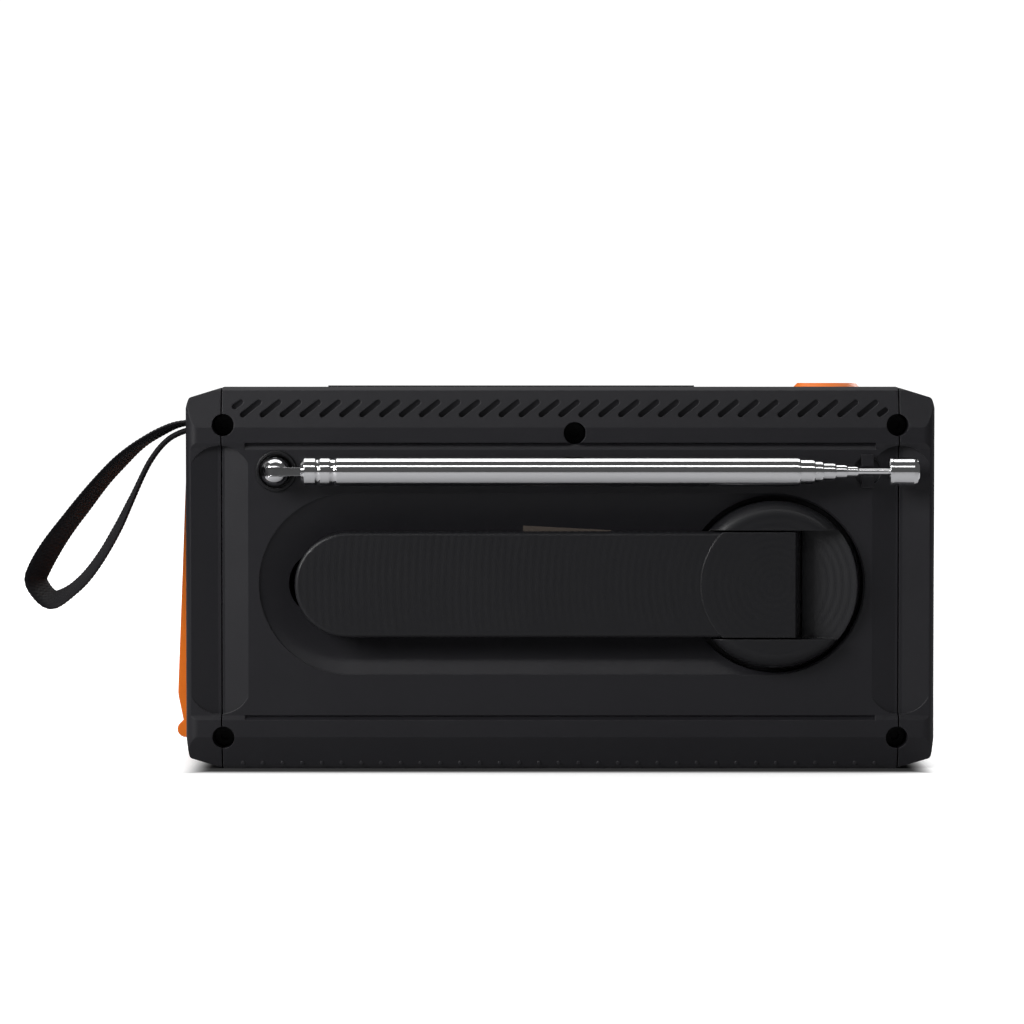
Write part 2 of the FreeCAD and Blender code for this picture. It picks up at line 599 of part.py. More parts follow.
def strap_end_openings():
    """Holes for the sockets and the slot that the wrist strap passes through."""
    return (
        box("usb_a_hole", ("seam_x", "port_y - 3.1", "usb_a_z - 6.8"),
            ("case_width", "port_y + 3.1", "usb_a_z + 6.8")),
        box("usb_c_hole", ("seam_x", "port_y - 1.8", "usb_c_z - 4.7"),
            ("case_width", "port_y + 1.8", "usb_c_z + 4.7")),
        cylinder("jack_hole", "X", ("seam_x", "port_y", "jack_z"), "3.1", "20"),
        box("strap_slot", ("case_width / 2 - 6", "strap_y - 1", "strap_z - 4.2"),
            ("case_width", "strap_y + strap_width + 1", "strap_z + 1.2")),
        cylinder("strap_pin_bore", "Y", ("case_width / 2 - 3.7", "strap_y - 2.2", "strap_z - 1.75"),
                 "strap_pin", "strap_width + 4.4"),
    )


def lamp_end_openings():
    return (
        cylinder("lamp_hole", "X", ("-case_width / 2 - wall", "lamp_y", "lamp_z"), "lamp_radius", "10"),
    )


def make_screws():
    parts = []
    for number, (across, up) in enumerate(screw_spots(), start=1):
        seat = "panel_y - bore_depth"
        head = cylinder("head_%d" % number, "Y", (across, seat, up), "screw_head", "screw_head_height")
        shank = cylinder("stem_%d" % number, "Y", (across, "split_y - screw_length + 1", up), "screw_shank",
                         "panel_y - bore_depth - split_y + screw_length - 0.5")
        socket = prism("drive_%d" % number, "XZ", hexagon(across, up, "1.2"),
                       seat + " + 0.8", seat + " + screw_head_height + 1")
        parts.append(cut("case_screw_%d" % number, fuse("screw_blank_%d" % number, head, shank), socket))
    node("case_screws", group("case_screws", *parts))


def hexagon(across, up, radius):
    return [("%s + (%s) * cos(%d)" % (across, radius, 60 * step),
             "%s + (%s) * sin(%d)" % (up, radius, 60 * step))
            for step in range(6)]


# ---------------------------------------------------------------- crank


def make_crank():
    make_hub()
    make_arm()
    make_knob()
    pin = cylinder("crank_pin", "Z", ("hub_x", "panel_y + pin_height", "hub_z - pin_half"),
                   "pin_radius", "2 * pin_half")
    node("crank_pin", pin)


def make_hub():
    """Round hub with a channel for the arm and a ramp that stops the opened arm."""
    disc = turned("hub_disc", "Y", ("hub_x", "panel_y", "hub_z"), [
        ("0", "-hub_base"), ("hub_radius", "-hub_base"), ("hub_radius", "hub_height"), ("0", "hub_height"),
    ], "hub_round")
    profile = [
        ("hub_x - ramp_start", "panel_y - channel_floor"),
        ("hub_x + 2 * hub_radius", "panel_y - channel_floor"),
        ("hub_x + 2 * hub_radius", "panel_y + 2 * hub_height"),
        ("hub_x - 2 * hub_radius", "panel_y + 2 * hub_height"),
        ("hub_x - hub_radius - 1", "panel_y + ramp_high + 0.4"), ("hub_x - ramp_start", "panel_y + ramp_low"),
    ]
    channel = prism("hub_channel", "XY", profile, "hub_z - channel_half", "hub_z + channel_half")
    pin_bore = cylinder("hub_pin_bore", "Z",
                        ("hub_x", "panel_y + pin_height", "hub_z + pin_half - 2 * hub_radius"),
                        "pin_radius", "2 * hub_radius")
    seat = cylinder("hub_shaft_seat", "Y", ("hub_x", "panel_y - hub_base - 1", "hub_z"),
                    "shaft_radius", "1 + hub_base - channel_floor - 1")
    node("crank_hub", cut("crank_hub", disc, channel, pin_bore, seat))


def make_arm():
    """Flat folding arm, round at the tip, with a round raised pad over the hub."""
    low = "panel_y - arm_bottom"
    high = "panel_y + arm_top"
    pad_high = "panel_y + arm_top + arm_pad_rise"
    blade = stadium("arm_blade", "XZ", ("arm_tip_x", "hub_z"), ("hub_x", "hub_z"), "arm_half", low, high)
    round_edges(blade, blade.Tip, level_edges(blade.Tip.Shape, "Y", value(high)), "arm_round")
    reach = box("arm_reach", ("hub_x - arm_half - 2", low + " - 1", "hub_z - arm_half - 1"),
                ("hub_x", high + " + 1", "hub_z + arm_half + 1"))
    heel_block = box("arm_heel_block", ("hub_x - arm_heel", low, "hub_z - arm_half"),
                     ("hub_x + 1", pad_high, "hub_z + arm_half"))
    heel_round = cylinder("arm_heel_round", "Z", ("hub_x", "panel_y + pin_height", "hub_z - arm_half"),
                          "arm_heel", "2 * arm_half")
    heel = common("arm_heel", heel_block, heel_round)
    pad = common("arm_pad", box("arm_pad_block", ("hub_x", "panel_y", "hub_z - arm_half"),
                                ("hub_x + arm_pad_radius", pad_high, "hub_z + arm_half")),
                 cylinder("arm_pad_disc", "Y", ("hub_x", "panel_y", "hub_z"), "arm_pad_radius",
                          "2 * arm_top"))
    body = fuse("arm_body", cut("arm_front", blade, reach), heel, pad)
    hollow = stadium("arm_hollow", "XZ", ("knob_x - 18", "hub_z"), ("hub_x + 22", "hub_z"),
                     "arm_half - 2.4", low + " - 1", high + " - 2.2")
    rib = box("arm_rib", ("hub_x + 22 - arm_half", low, "hub_z - 0.8"),
              ("knob_x - 10", high + " - 1", "hub_z + 0.8"))
    pin_bore = cylinder("arm_pin_bore", "Z", ("hub_x", "panel_y + pin_height", "hub_z - 2 * arm_half"),
                        "pin_radius + fit_gap", "4 * arm_half")
    rivet_bore = cylinder("arm_rivet_bore", "Y", ("knob_x", low + " - 1", "hub_z"), "rivet_radius",
                          "arm_bottom + arm_top - 1")
    node("crank_arm", fuse("crank_arm", cut("arm_cut", body, hollow, pin_bore, rivet_bore),
                           common("arm_rib_inside", rib, hollow)))


def make_knob():
    """Finger knob that spins on a shouldered rivet under the arm's tip."""
    top = "panel_y - arm_bottom"
    node("crank_knob", turned("crank_knob", "Y", ("knob_x", top + " - knob_length", "hub_z"), [
        ("rivet_head + 0.05", "0.4"), ("knob_radius - 1.2", "0.4"), ("knob_radius", "1.8"),
        ("knob_radius - 0.5", "knob_length / 2"), ("knob_radius", "knob_length - 1.4"),
        ("knob_radius - 1", "knob_length - 0.15"), ("knob_bore", "knob_length - 0.15"),
        ("knob_bore", "2.4"), ("rivet_head + 0.05", "2.4"),
    ]))
    node("knob_rivet", turned("knob_rivet", "Y", ("knob_x", top + " - knob_length", "hub_z"), [
        ("0", "0.7"), ("rivet_head", "0.7"), ("rivet_head", "2.3"), ("rivet_radius", "2.3"),
        ("rivet_radius", "knob_length + arm_bottom + arm_top - 2.2"),
        ("0", "knob_length + arm_bottom + arm_top - 2.2"),
    ]))


# ---------------------------------------------------------------- gear train


def gear_outline(teeth, module, turn):
    """Involute tooth outline about the origin, with a little backlash; turn is tooth 0's angle."""
    pitch = teeth * module / 2
    pressure = math.radians(20)
    base = pitch * math.cos(pressure)
    spread = math.tan(pressure) - pressure
    backlash = 0.06 / pitch
    radii = [pitch - 1.2 * module, max(base, pitch - 0.6 * module), pitch, pitch + 0.45 * module,
             pitch + 0.85 * module]

    def half_angle(radius):
        roll = math.acos(min(1, base / radius))
        return math.pi / (2 * teeth) - backlash + spread - (math.tan(roll) - roll)

    points = []
    for tooth in range(teeth):
        middle = 2 * math.pi * tooth / teeth + math.radians(turn)
        flank = [(radius, half_angle(radius)) for radius in radii]
        points += [(radius, middle - angle) for radius, angle in flank]
        points += [(radius, middle + angle) for radius, angle in reversed(flank)]
    return [Vector(radius * math.cos(angle), radius * math.sin(angle), 0) for radius, angle in points]


def gear(name, teeth, module, width, turn):
    """Toothed disc about +Z at the origin, as one feature read from the sheet."""
    outline = gear_outline(int(value(teeth)), value(module), turn)
    solid = Part.Face(Part.makePolygon(outline + outline[:1])).extrude(Vector(0, 0, value(width)))
    item = doc.addObject("Part::Feature", name)
    item.Shape = solid
    return item


def mesh_turn(teeth, bearing):
    """Angle that puts a gap of a gear at a bearing in its own plane, in degrees."""
    return bearing + 180 / teeth


def make_gear_train():
    """Crank shaft, two gear stages and the generator behind the hub."""
    first_y = "first_gear_y"
    second_y = "second_gear_y"
    crank_gear = gear("crank_gear_blank", "crank_teeth", "first_module", "gear_width", 0)
    place(crank_gear, ("hub_x", first_y, "hub_z"), AXIS_TURN["Y"])
    gear_bore = cylinder("crank_gear_bore", "Y", ("hub_x", first_y + " - 1", "hub_z"), "shaft_radius",
                         "gear_width + 2")
    windows = []
    for step in range(5):
        spin = 72 * step + 36
        windows.append(cylinder("gear_window_%d" % step, "Y",
                                ("hub_x + 9.6 * cos(%d)" % spin, first_y + " - 1",
                                 "hub_z + 9.6 * sin(%d)" % spin),
                                "3.4", "gear_width + 2"))
    node("crank_gear", cut("crank_gear", crank_gear, gear_bore, *windows))
    node("crank_shaft", turned("crank_shaft", "Y", ("hub_x", "shaft_end_y", "hub_z"), [
        ("0", "0"), ("shaft_end_radius", "0"), ("shaft_end_radius", "plate_thick + 0.6"),
        ("shaft_radius", "plate_thick + 0.6"),
        ("shaft_radius", "panel_y - channel_floor - 1 - shaft_end_y"),
        ("0", "panel_y - channel_floor - 1 - shaft_end_y"),
    ]))
    node("shaft_bushing", turned("shaft_bushing", "Y", ("hub_x", "split_y - 2", "hub_z"), [
        ("shaft_radius + fit_gap", "0"), ("bushing_radius + 1.5", "0"), ("bushing_radius + 1.5", "2"),
        ("bushing_radius", "2"), ("bushing_radius", "panel_y - hub_pocket_depth - split_y + 2"),
        ("shaft_radius + fit_gap", "panel_y - hub_pocket_depth - split_y + 2"),
    ]))
    make_idler(first_y, second_y)
    make_generator(second_y)
    make_gearbox_plate()


def make_idler(first_y, second_y):
    teeth = int(value("idler_pinion_teeth"))
    pinion = gear("idler_pinion", "idler_pinion_teeth", "first_module", "gear_width", mesh_turn(teeth, 180))
    place(pinion, ("idler_x", first_y, "hub_z"), AXIS_TURN["Y"])
    wheel = gear("idler_wheel", "idler_wheel_teeth", "second_module", "gear_width - 1", 0)
    place(wheel, ("idler_x", second_y, "hub_z"), AXIS_TURN["Y"])
    hub = cylinder("idler_spacer", "Y", ("idler_x", second_y, "hub_z"), "4",
                   "first_gear_y + 0.5 - second_gear_y")
    bore = cylinder("idler_bore", "Y", ("idler_x", second_y + " - 1", "hub_z"), "axle_radius + fit_gap", "12")
    node("idler_gear", cut("idler_gear", fuse("idler_blank", pinion, wheel, hub), bore))


def make_generator(second_y):
    """Small permanent-magnet generator hung under the gearbox plate."""
    spot = ("idler_x", "plate_y - can_depth", "rotor_z")
    can = turned("generator_can", "Y", spot, [
        ("rotor_shaft + fit_gap", "can_depth - can_wall"), ("can_radius - can_wall", "can_depth - can_wall"),
        ("can_radius - can_wall", "can_wall"), ("0", "can_wall"), ("0", "0"), ("can_radius", "0"),
        ("can_radius", "can_depth"), ("rotor_shaft + fit_gap", "can_depth"),
    ])
    coils = turned("generator_coils", "Y", spot, [
        ("magnet_radius + 0.4", "2"), ("can_radius - can_wall", "2"),
        ("can_radius - can_wall", "can_depth - 2"), ("magnet_radius + 0.4", "can_depth - 2"),
    ])
    node("generator_stator", fuse("generator_stator", can, coils))
    shaft = turned("rotor_magnet", "Y", spot, [
        ("0", "can_wall + 0.3"), ("rotor_shaft", "can_wall + 0.3"), ("rotor_shaft", "2.4"),
        ("magnet_radius", "2.4"),
        ("magnet_radius", "can_depth - 2.4"), ("rotor_shaft", "can_depth - 2.4"),
        ("rotor_shaft", "can_depth + 6.4"), ("0", "can_depth + 6.4"),
    ])
    teeth = int(value("rotor_teeth"))
    pinion = gear("rotor_pinion", "rotor_teeth", "second_module", "gear_width - 0.6", mesh_turn(teeth, -90))
    place(pinion, ("idler_x", second_y + " - 0.2", "rotor_z"), AXIS_TURN["Y"])
    node("generator_rotor", fuse("generator_rotor", shaft, pinion))


def make_gearbox_plate():
    """Steel plate on four posts that carries the axles and the generator."""
    plate = box("gearbox_sheet", ("hub_x - 20", "plate_y", "rotor_z - can_radius"),
                ("idler_x + 17", "plate_y + plate_thick", "hub_z + 21"))
    posts = [cylinder("gearbox_post_%d" % number, "Y", (across, "plate_y", up), "2.2", "split_y - plate_y")
             for number, (across, up) in enumerate([
                 ("hub_x - 17.5", "hub_z + 18.5"), ("hub_x - 17.5", "rotor_z - 3.5"),
                 ("hub_x + 14", "hub_z + 18.5"), ("hub_x + 9", "hub_z - 20.5")])]
    axle = cylinder("idler_axle", "Y", ("idler_x", "plate_y", "hub_z"), "axle_radius",
                    "first_gear_y + gear_width")
    holes = [
        cylinder("plate_shaft_hole", "Y", ("hub_x", "0", "hub_z"), "shaft_end_radius + fit_gap", "5"),
        cylinder("plate_rotor_hole", "Y", ("idler_x", "0", "rotor_z"), "rotor_shaft + 1", "5"),
    ]
    node("gearbox_plate", cut("gearbox_plate", fuse("gearbox_blank", plate, axle, *posts), *holes))


# ---------------------------------------------------------------- antenna


def make_antenna():
    make_antenna_base()
    make_first_section()
    start = "tube_start_x - 3.5"
    for number, (radius, end) in enumerate(zip(SECTION_RADII[1:], SECTION_ENDS[1:]), start=2):
        inside = SECTION_RADII[number] if number < len(SECTION_RADII) else value("rod_radius")
        begin = "%s - %s" % (start, 1.2 * (number - 2))
        node("antenna_section_%d" % number,
             tube("antenna_section_%d" % number, str(end), begin, str(radius), "%s + fit_gap" % inside))
    make_tip(start)


def mast_axis(across):
    return (across, "panel_y + mast_rise", "mast_z")


def tube(name, low, high, outside, inside):
    """Open tube along X, its visible end swaged in a little."""
    return turned(name, "X", mast_axis(low), [
        (inside, "0"), (outside + " - 0.3", "0"), (outside + " - 0.1", "0.25"), (outside, "0.7"),
        (outside, "(%s) - (%s)" % (high, low)), (inside, "(%s) - (%s)" % (high, low)),
    ])


def make_antenna_base():
    """Knuckle that turns in the collar; the mast's tab tilts in its slot."""
    stem = turned("knuckle_stem", "Y", ("mast_x", "panel_y - 12", "mast_z"), [
        ("0", "0"), ("knuckle_radius + 1.6", "0"), ("knuckle_radius + 1.6", "1.2"), ("knuckle_radius", "1.2"),
        ("knuckle_radius", "12"), ("knuckle_radius - 0.8", "12.8"), ("0", "12.8"),
    ])
    neck = cylinder("knuckle_neck", "Y", ("mast_x", "panel_y", "mast_z"), "knuckle_radius - 0.8", "mast_rise")
    ball = doc.addObject("Part::Sphere", "knuckle_ball")
    bind(ball, "Radius", "knuckle_radius")
    place(ball, mast_axis("mast_x"))
    slot = box("knuckle_slot_cut",
               ("mast_x - 10", "panel_y + mast_rise - tab_half - 1.1", "mast_z - knuckle_slot / 2"),
               ("mast_x + 10", "panel_y + 20", "mast_z + knuckle_slot / 2"))
    bore = cylinder("knuckle_bore", "Z", ("mast_x", "panel_y + mast_rise", "mast_z - 5"), "tilt_pin_radius",
                    "10")
    node("antenna_base", cut("antenna_base", fuse("knuckle_blank", stem, neck, ball), slot, bore))
    node("antenna_collar", turned("antenna_collar", "Y", ("mast_x", "split_y + 1", "mast_z"), [
        ("knuckle_radius + fit_gap", "0"), ("collar_bore + 0.4", "0"),
        ("collar_bore + 0.4", "panel_y - split_y - 1"), ("collar_radius", "panel_y - split_y - 1"),
        ("collar_radius", "panel_y - split_y - 1 + collar_rise - 0.3"),
        ("collar_radius - 0.3", "panel_y - split_y - 1 + collar_rise"),
        ("collar_bore", "panel_y - split_y - 1 + collar_rise"),
        ("collar_bore", "panel_y - split_y - 3.5"), ("knuckle_radius + fit_gap", "panel_y - split_y - 3.5"),
    ]))
    node("antenna_pivot_pin", cylinder("antenna_pivot_pin", "Z",
                                       ("mast_x", "panel_y + mast_rise", "mast_z - knuckle_radius + 0.4"),
                                       "tilt_pin_radius", "2 * knuckle_radius - 0.8"))


def make_first_section():
    """Main tube with two swaged grooves, plugged by the tab that takes the pivot pin."""
    low = str(SECTION_ENDS[0])
    length = "tube_start_x - (%s)" % low
    radius = str(SECTION_RADII[0])
    inside = "%s + fit_gap" % SECTION_RADII[1]
    corners = [(inside, "0"), (radius + " - 0.3", "0"), (radius + " - 0.1", "0.25"), (radius, "0.7")]
    for back, half in ((7.5, 0.85), (3.9, 0.6)):
        for sink, shift in ((0, half), (0.6, half * 0.6), (1, half * 0.2),
                            (1, -half * 0.2), (0.6, -half * 0.6), (0, -half)):
            corners.append(("%s - %s * groove_cut" % (radius, sink), "%s - %s" % (length, back + shift)))
    corners += [(radius, length + " - 0.8"), (radius + " - 0.8", length), ("0", length),
                ("0", length + " - 3"), (inside, length + " - 3")]
    barrel = turned("main_tube", "X", mast_axis(low), corners)
    tab = stadium("mast_tab", "XY", ("mast_x", "panel_y + mast_rise"),
                  ("tube_start_x - 0.5", "panel_y + mast_rise"),
                  "tab_half", "mast_z - tab_thick / 2", "mast_z + tab_thick / 2")
    tab_trim = box("mast_tab_trim", ("tube_start_x - 5", "panel_y", "mast_z - 2"),
                   ("tube_start_x - 1", "panel_y + 10", "mast_z + 2"))
    bore = cylinder("mast_tab_bore", "Z", ("mast_x", "panel_y + mast_rise", "mast_z - 5"),
                    "tilt_pin_radius + fit_gap", "10")
    tabbed = fuse("main_tube_tabbed", barrel, cut("tab_cut", tab, tab_trim))
    node("antenna_section_1", cut("antenna_section_1", tabbed, bore))


def make_tip(start):
    """Solid end rod with its rounded cap."""
    length = "(%s - 7) - (tip_start_x - tip_length)" % start
    node("antenna_tip", turned("antenna_tip", "X", mast_axis("tip_start_x - tip_length"), [
        ("0", "0"), ("tip_radius - 1.3", "0"), ("tip_radius - 0.5", "0.4"), ("tip_radius - 0.1", "1.3"),
        ("tip_radius - 0.1", "tip_length - 1.1"), ("tip_radius", "tip_length - 0.8"),
        ("tip_radius", "tip_length - 0.25"), ("tip_radius - 0.3", "tip_length"), ("rod_radius", "tip_length"),
        ("rod_radius", length), ("0", length),
    ]))


# ---------------------------------------------------------------- top, front and ends


def make_top():
    bed = "case_height - solar_sink"
    frame = box("solar_frame_block", ("solar_left", "solar_front", bed),
                ("solar_right", "solar_rear", "case_height + solar_rise"))
    window = box("solar_window", ("solar_left + solar_rim", "solar_front + solar_rim", bed + " + 0.8"),
                 ("solar_right - solar_rim", "solar_rear - solar_rim", "case_height + wall"))
    node("solar_frame", cut("solar_frame", frame, window))
    node("solar_panel", box("solar_panel",
                            ("solar_left + solar_rim", "solar_front + solar_rim", bed + " + 0.8"),
                            ("solar_right - solar_rim", "solar_rear - solar_rim",
                             "case_height + solar_rise - solar_glass")))
    node("sos_button", turned("sos_button", "Z", ("sos_x", "sos_y", "case_height - top_wall - 2"), [
        ("0", "-4"), ("2", "-4"), ("2", "0"), ("sos_radius + 1", "0"), ("sos_radius + 1", "0.9"),
        ("sos_radius", "0.9"),
        ("sos_radius", "top_wall + 2 + sos_rise - 1"), ("sos_radius - 1", "top_wall + 2 + sos_rise"),
        ("sos_radius - 3", "top_wall + 2 + sos_rise - 0.3"), ("0", "top_wall + 2 + sos_rise - 0.6"),
    ]))
    switch_top = "case_height - top_wall - 7.2"
    switch = box("sos_switch_block", ("sos_x - 3", "sos_y - 3", switch_top + " - 4"),
                 ("sos_x + 3", "sos_y + 3", switch_top))
    board = box("sos_switch_board", ("wall - seam_x", "sos_y - 8", switch_top + " - 5.6"),
                ("sos_x + 9", "sos_y + 8", switch_top + " - 4"))
    node("sos_switch", fuse("sos_switch", switch, board))


def make_speaker():
    """Grille of slanted bars outside; basket, cone and magnet inside."""
    disc = turned("grille_disc", "Y", ("speaker_x", "front_y - 1", "speaker_z"), [
        ("0", "0"), ("grille_radius - 1.2", "0"), ("grille_radius - 0.2", "1"),
        ("grille_radius - 0.2", "2"), ("0", "2"),
    ])
    body = doc.addObject("PartDesign::Body", "grille_slots")
    sketch = attached_sketch(body, "grille_slot_outline", "XZ", "0")
    draw_stadium(sketch, ("speaker_x - 44", "speaker_z - 18"), ("speaker_x - 12", "speaker_z + 18"), "1.1")
    pad = pad_between(body, sketch, "XZ", "front_y - 4", "front_y + 4")
    row(body, pad, "X_Axis", "slot_pitch * 1.2", "11")
    rim = cylinder("grille_field", "Y", ("speaker_x", "front_y - 4", "speaker_z"), "speaker_radius - 4", "8")
    node("speaker_grille", cut("speaker_grille", disc, common("grille_holes", body, rim)))
    seat = "front_y + wall"
    basket = turned("speaker_basket", "Y", ("speaker_x", seat, "speaker_z"), [
        ("speaker_radius - 4", "0"), ("speaker_radius", "0"), ("speaker_radius", "1.2"),
        ("speaker_radius - 3", "1.2"),
        ("13", "9.6"), ("9", "9.6"), ("9", "8.6"), ("12.4", "8.6"), ("speaker_radius - 4", "1.2"),
    ])
    magnet = cylinder("speaker_magnet", "Y", ("speaker_x", seat + " + 9.6", "speaker_z"), "14", "5")
    node("speaker_frame", fuse("speaker_frame", basket, magnet))
    node("speaker_cone", turned("speaker_cone", "Y", ("speaker_x", seat, "speaker_z"), [
        ("0", "4"), ("7", "5.4"), ("speaker_radius - 6", "0.2"), ("speaker_radius - 4.1", "0.2"),
        ("speaker_radius - 4.1", "0.8"), ("speaker_radius - 5.8", "0.8"), ("7.4", "6.4"), ("7.4", "8.2"),
        ("6.8", "8.2"),
        ("6.8", "6.2"), ("0", "4.6"),
    ]))


def make_front_controls():
    node("display_lens", box("display_lens",
                             ("display_x - display_half_x + 0.1", "front_y - 0.2",
                              "display_z - display_half_z + 0.1"),
                             ("display_x + display_half_x - 0.1", "front_y + lens_thick",
                              "display_z + display_half_z - 0.1")))
    node("lcd_module", box("lcd_module",
                           ("display_x - display_half_x + 2", "front_y + wall",
                            "display_z - display_half_z + 2"),
                           ("display_x + display_half_x - 2", "board_y", "display_z + display_half_z - 2")))
    for number, name in enumerate(("power_key", "band_key", "seek_down_key", "seek_up_key")):
        spot = key_x(number)
        cap = prism(name + "_cap", "XZ", [
            (spot + " - key_half_x", "key_z - key_half_z"), (spot + " + key_half_x", "key_z - key_half_z"),
            (spot + " + key_half_x", "key_z + key_half_z"), (spot + " - key_half_x", "key_z + key_half_z"),
        ], "front_y - key_rise", "front_y + wall + 1.4", [((0, 1, 2, 3), "1.6")])
        flange = box(name + "_flange",
                     (spot + " - key_half_x - 0.8", "front_y + wall + 0.1", "key_z - key_half_z - 0.8"),
                     (spot + " + key_half_x + 0.8", "front_y + wall + 1.4", "key_z + key_half_z + 0.8"))
        plunger = cylinder(name + "_plunger", "Y", (spot, "front_y + wall + 1", "key_z"), "1.2", "1.8")
        node(name, fuse(name, cap, flange, plunger))
    make_dials()


def make_dials():
    """Tuning and volume dials on their shaft encoders."""
    controls = []
    for name, spot in (("tuning", "tuning_x"), ("volume", "volume_x")):
        dial = turned(name + "_dial", "Y", (spot, "front_y - dial_rise", "knob_z"), [
            ("0", "0.5"), ("dial_radius - 2.4", "0.5"), ("dial_radius - 1.8", "0"),
            ("dial_radius - 0.8", "0"),
            ("dial_radius - 0.2", "0.8"), ("dial_radius", "dial_rise - 0.3"),
            ("dial_bore + 3.4", "dial_rise - 0.3"),
            ("dial_bore + 3.4", "2.2"), ("dial_bore + 0.9", "2.2"), ("dial_bore + 0.9", "dial_rise + 1"),
            ("dial_bore", "dial_rise + 1"), ("dial_bore", "2"), ("0", "2"),
        ])
        flutes = []
        for step in range(18):
            flutes.append(cylinder("%s_flute_%d" % (name, step), "Y",
                                   (spot + " + (dial_radius + 0.35) * cos(%d)" % (20 * step),
                                    "front_y - dial_rise - 1",
                                    "knob_z + (dial_radius + 0.35) * sin(%d)" % (20 * step)), "0.75",
                                    "dial_rise - 0.4"))
        node(name + "_knob", cut(name + "_knob", dial, *flutes))
        shaft = cylinder(name + "_shaft", "Y", (spot, "front_y - dial_rise + 2", "knob_z"),
                         "dial_bore - fit_gap",
                         "board_y - front_y + dial_rise - 2")
        can = box(name + "_can", (spot + " - 6", "board_y - 5.5", "knob_z - 6"),
                  (spot + " + 6", "board_y", "knob_z + 6"))
        controls.append(fuse(name + "_control", shaft, can))
    node("dial_controls", group("dial_controls", *controls))


def make_electronics():
    plate = box("main_board_sheet", ("-9", "board_y", "8"), ("seam_x - 4", "board_y + board_thick", "82"))
    switches = [box("key_switch_%d" % number, (key_x(number) + " - 2.5", "board_y - 4.4", "key_z - 2.5"),
                    (key_x(number) + " + 2.5", "board_y", "key_z + 2.5")) for number in range(4)]
    node("main_board", fuse("main_board", plate, *switches))
    rod = cylinder("ferrite_rod", "X", ("ferrite_x", "ferrite_y", "ferrite_z"), "ferrite_radius",
                   "ferrite_length")
    coil = cylinder("ferrite_coil", "X", ("ferrite_x + 14", "ferrite_y", "ferrite_z"),
                    "ferrite_radius + 0.9", "22")
    node("ferrite_aerial", fuse("ferrite_aerial", rod, coil))
    cells_pair = [cylinder("cell_" + label, "X", ("cell_x", depth, "cell_z"), "cell_radius", "cell_length")
                  for label, depth in (("front", "cell_front_y"), ("rear", "cell_rear_y"))]
    node("battery_cells", group("battery_cells", *cells_pair))
    tray = box("tray_block", ("cell_x - 2", "cell_front_y - cell_radius", "wall"),
               ("cell_x + cell_length + 2", "cell_rear_y + cell_radius - 3", "cell_z - 2"))
    troughs = [cylinder("trough_" + label, "X", ("cell_x - fit_gap", depth, "cell_z"),
                        "cell_radius + fit_gap",
                        "cell_length + 2 * fit_gap")
               for label, depth in (("front", "cell_front_y"), ("rear", "cell_rear_y"))]
    node("battery_holder", cut("battery_holder", tray, *troughs))
    node("siren", turned("siren", "Y", ("-1.5", "board_y + board_thick", "61.5"), [
        ("1.5", "0"), ("10", "0"), ("10", "8"), ("0", "8"), ("0", "2"), ("1.5", "2"),
    ]))


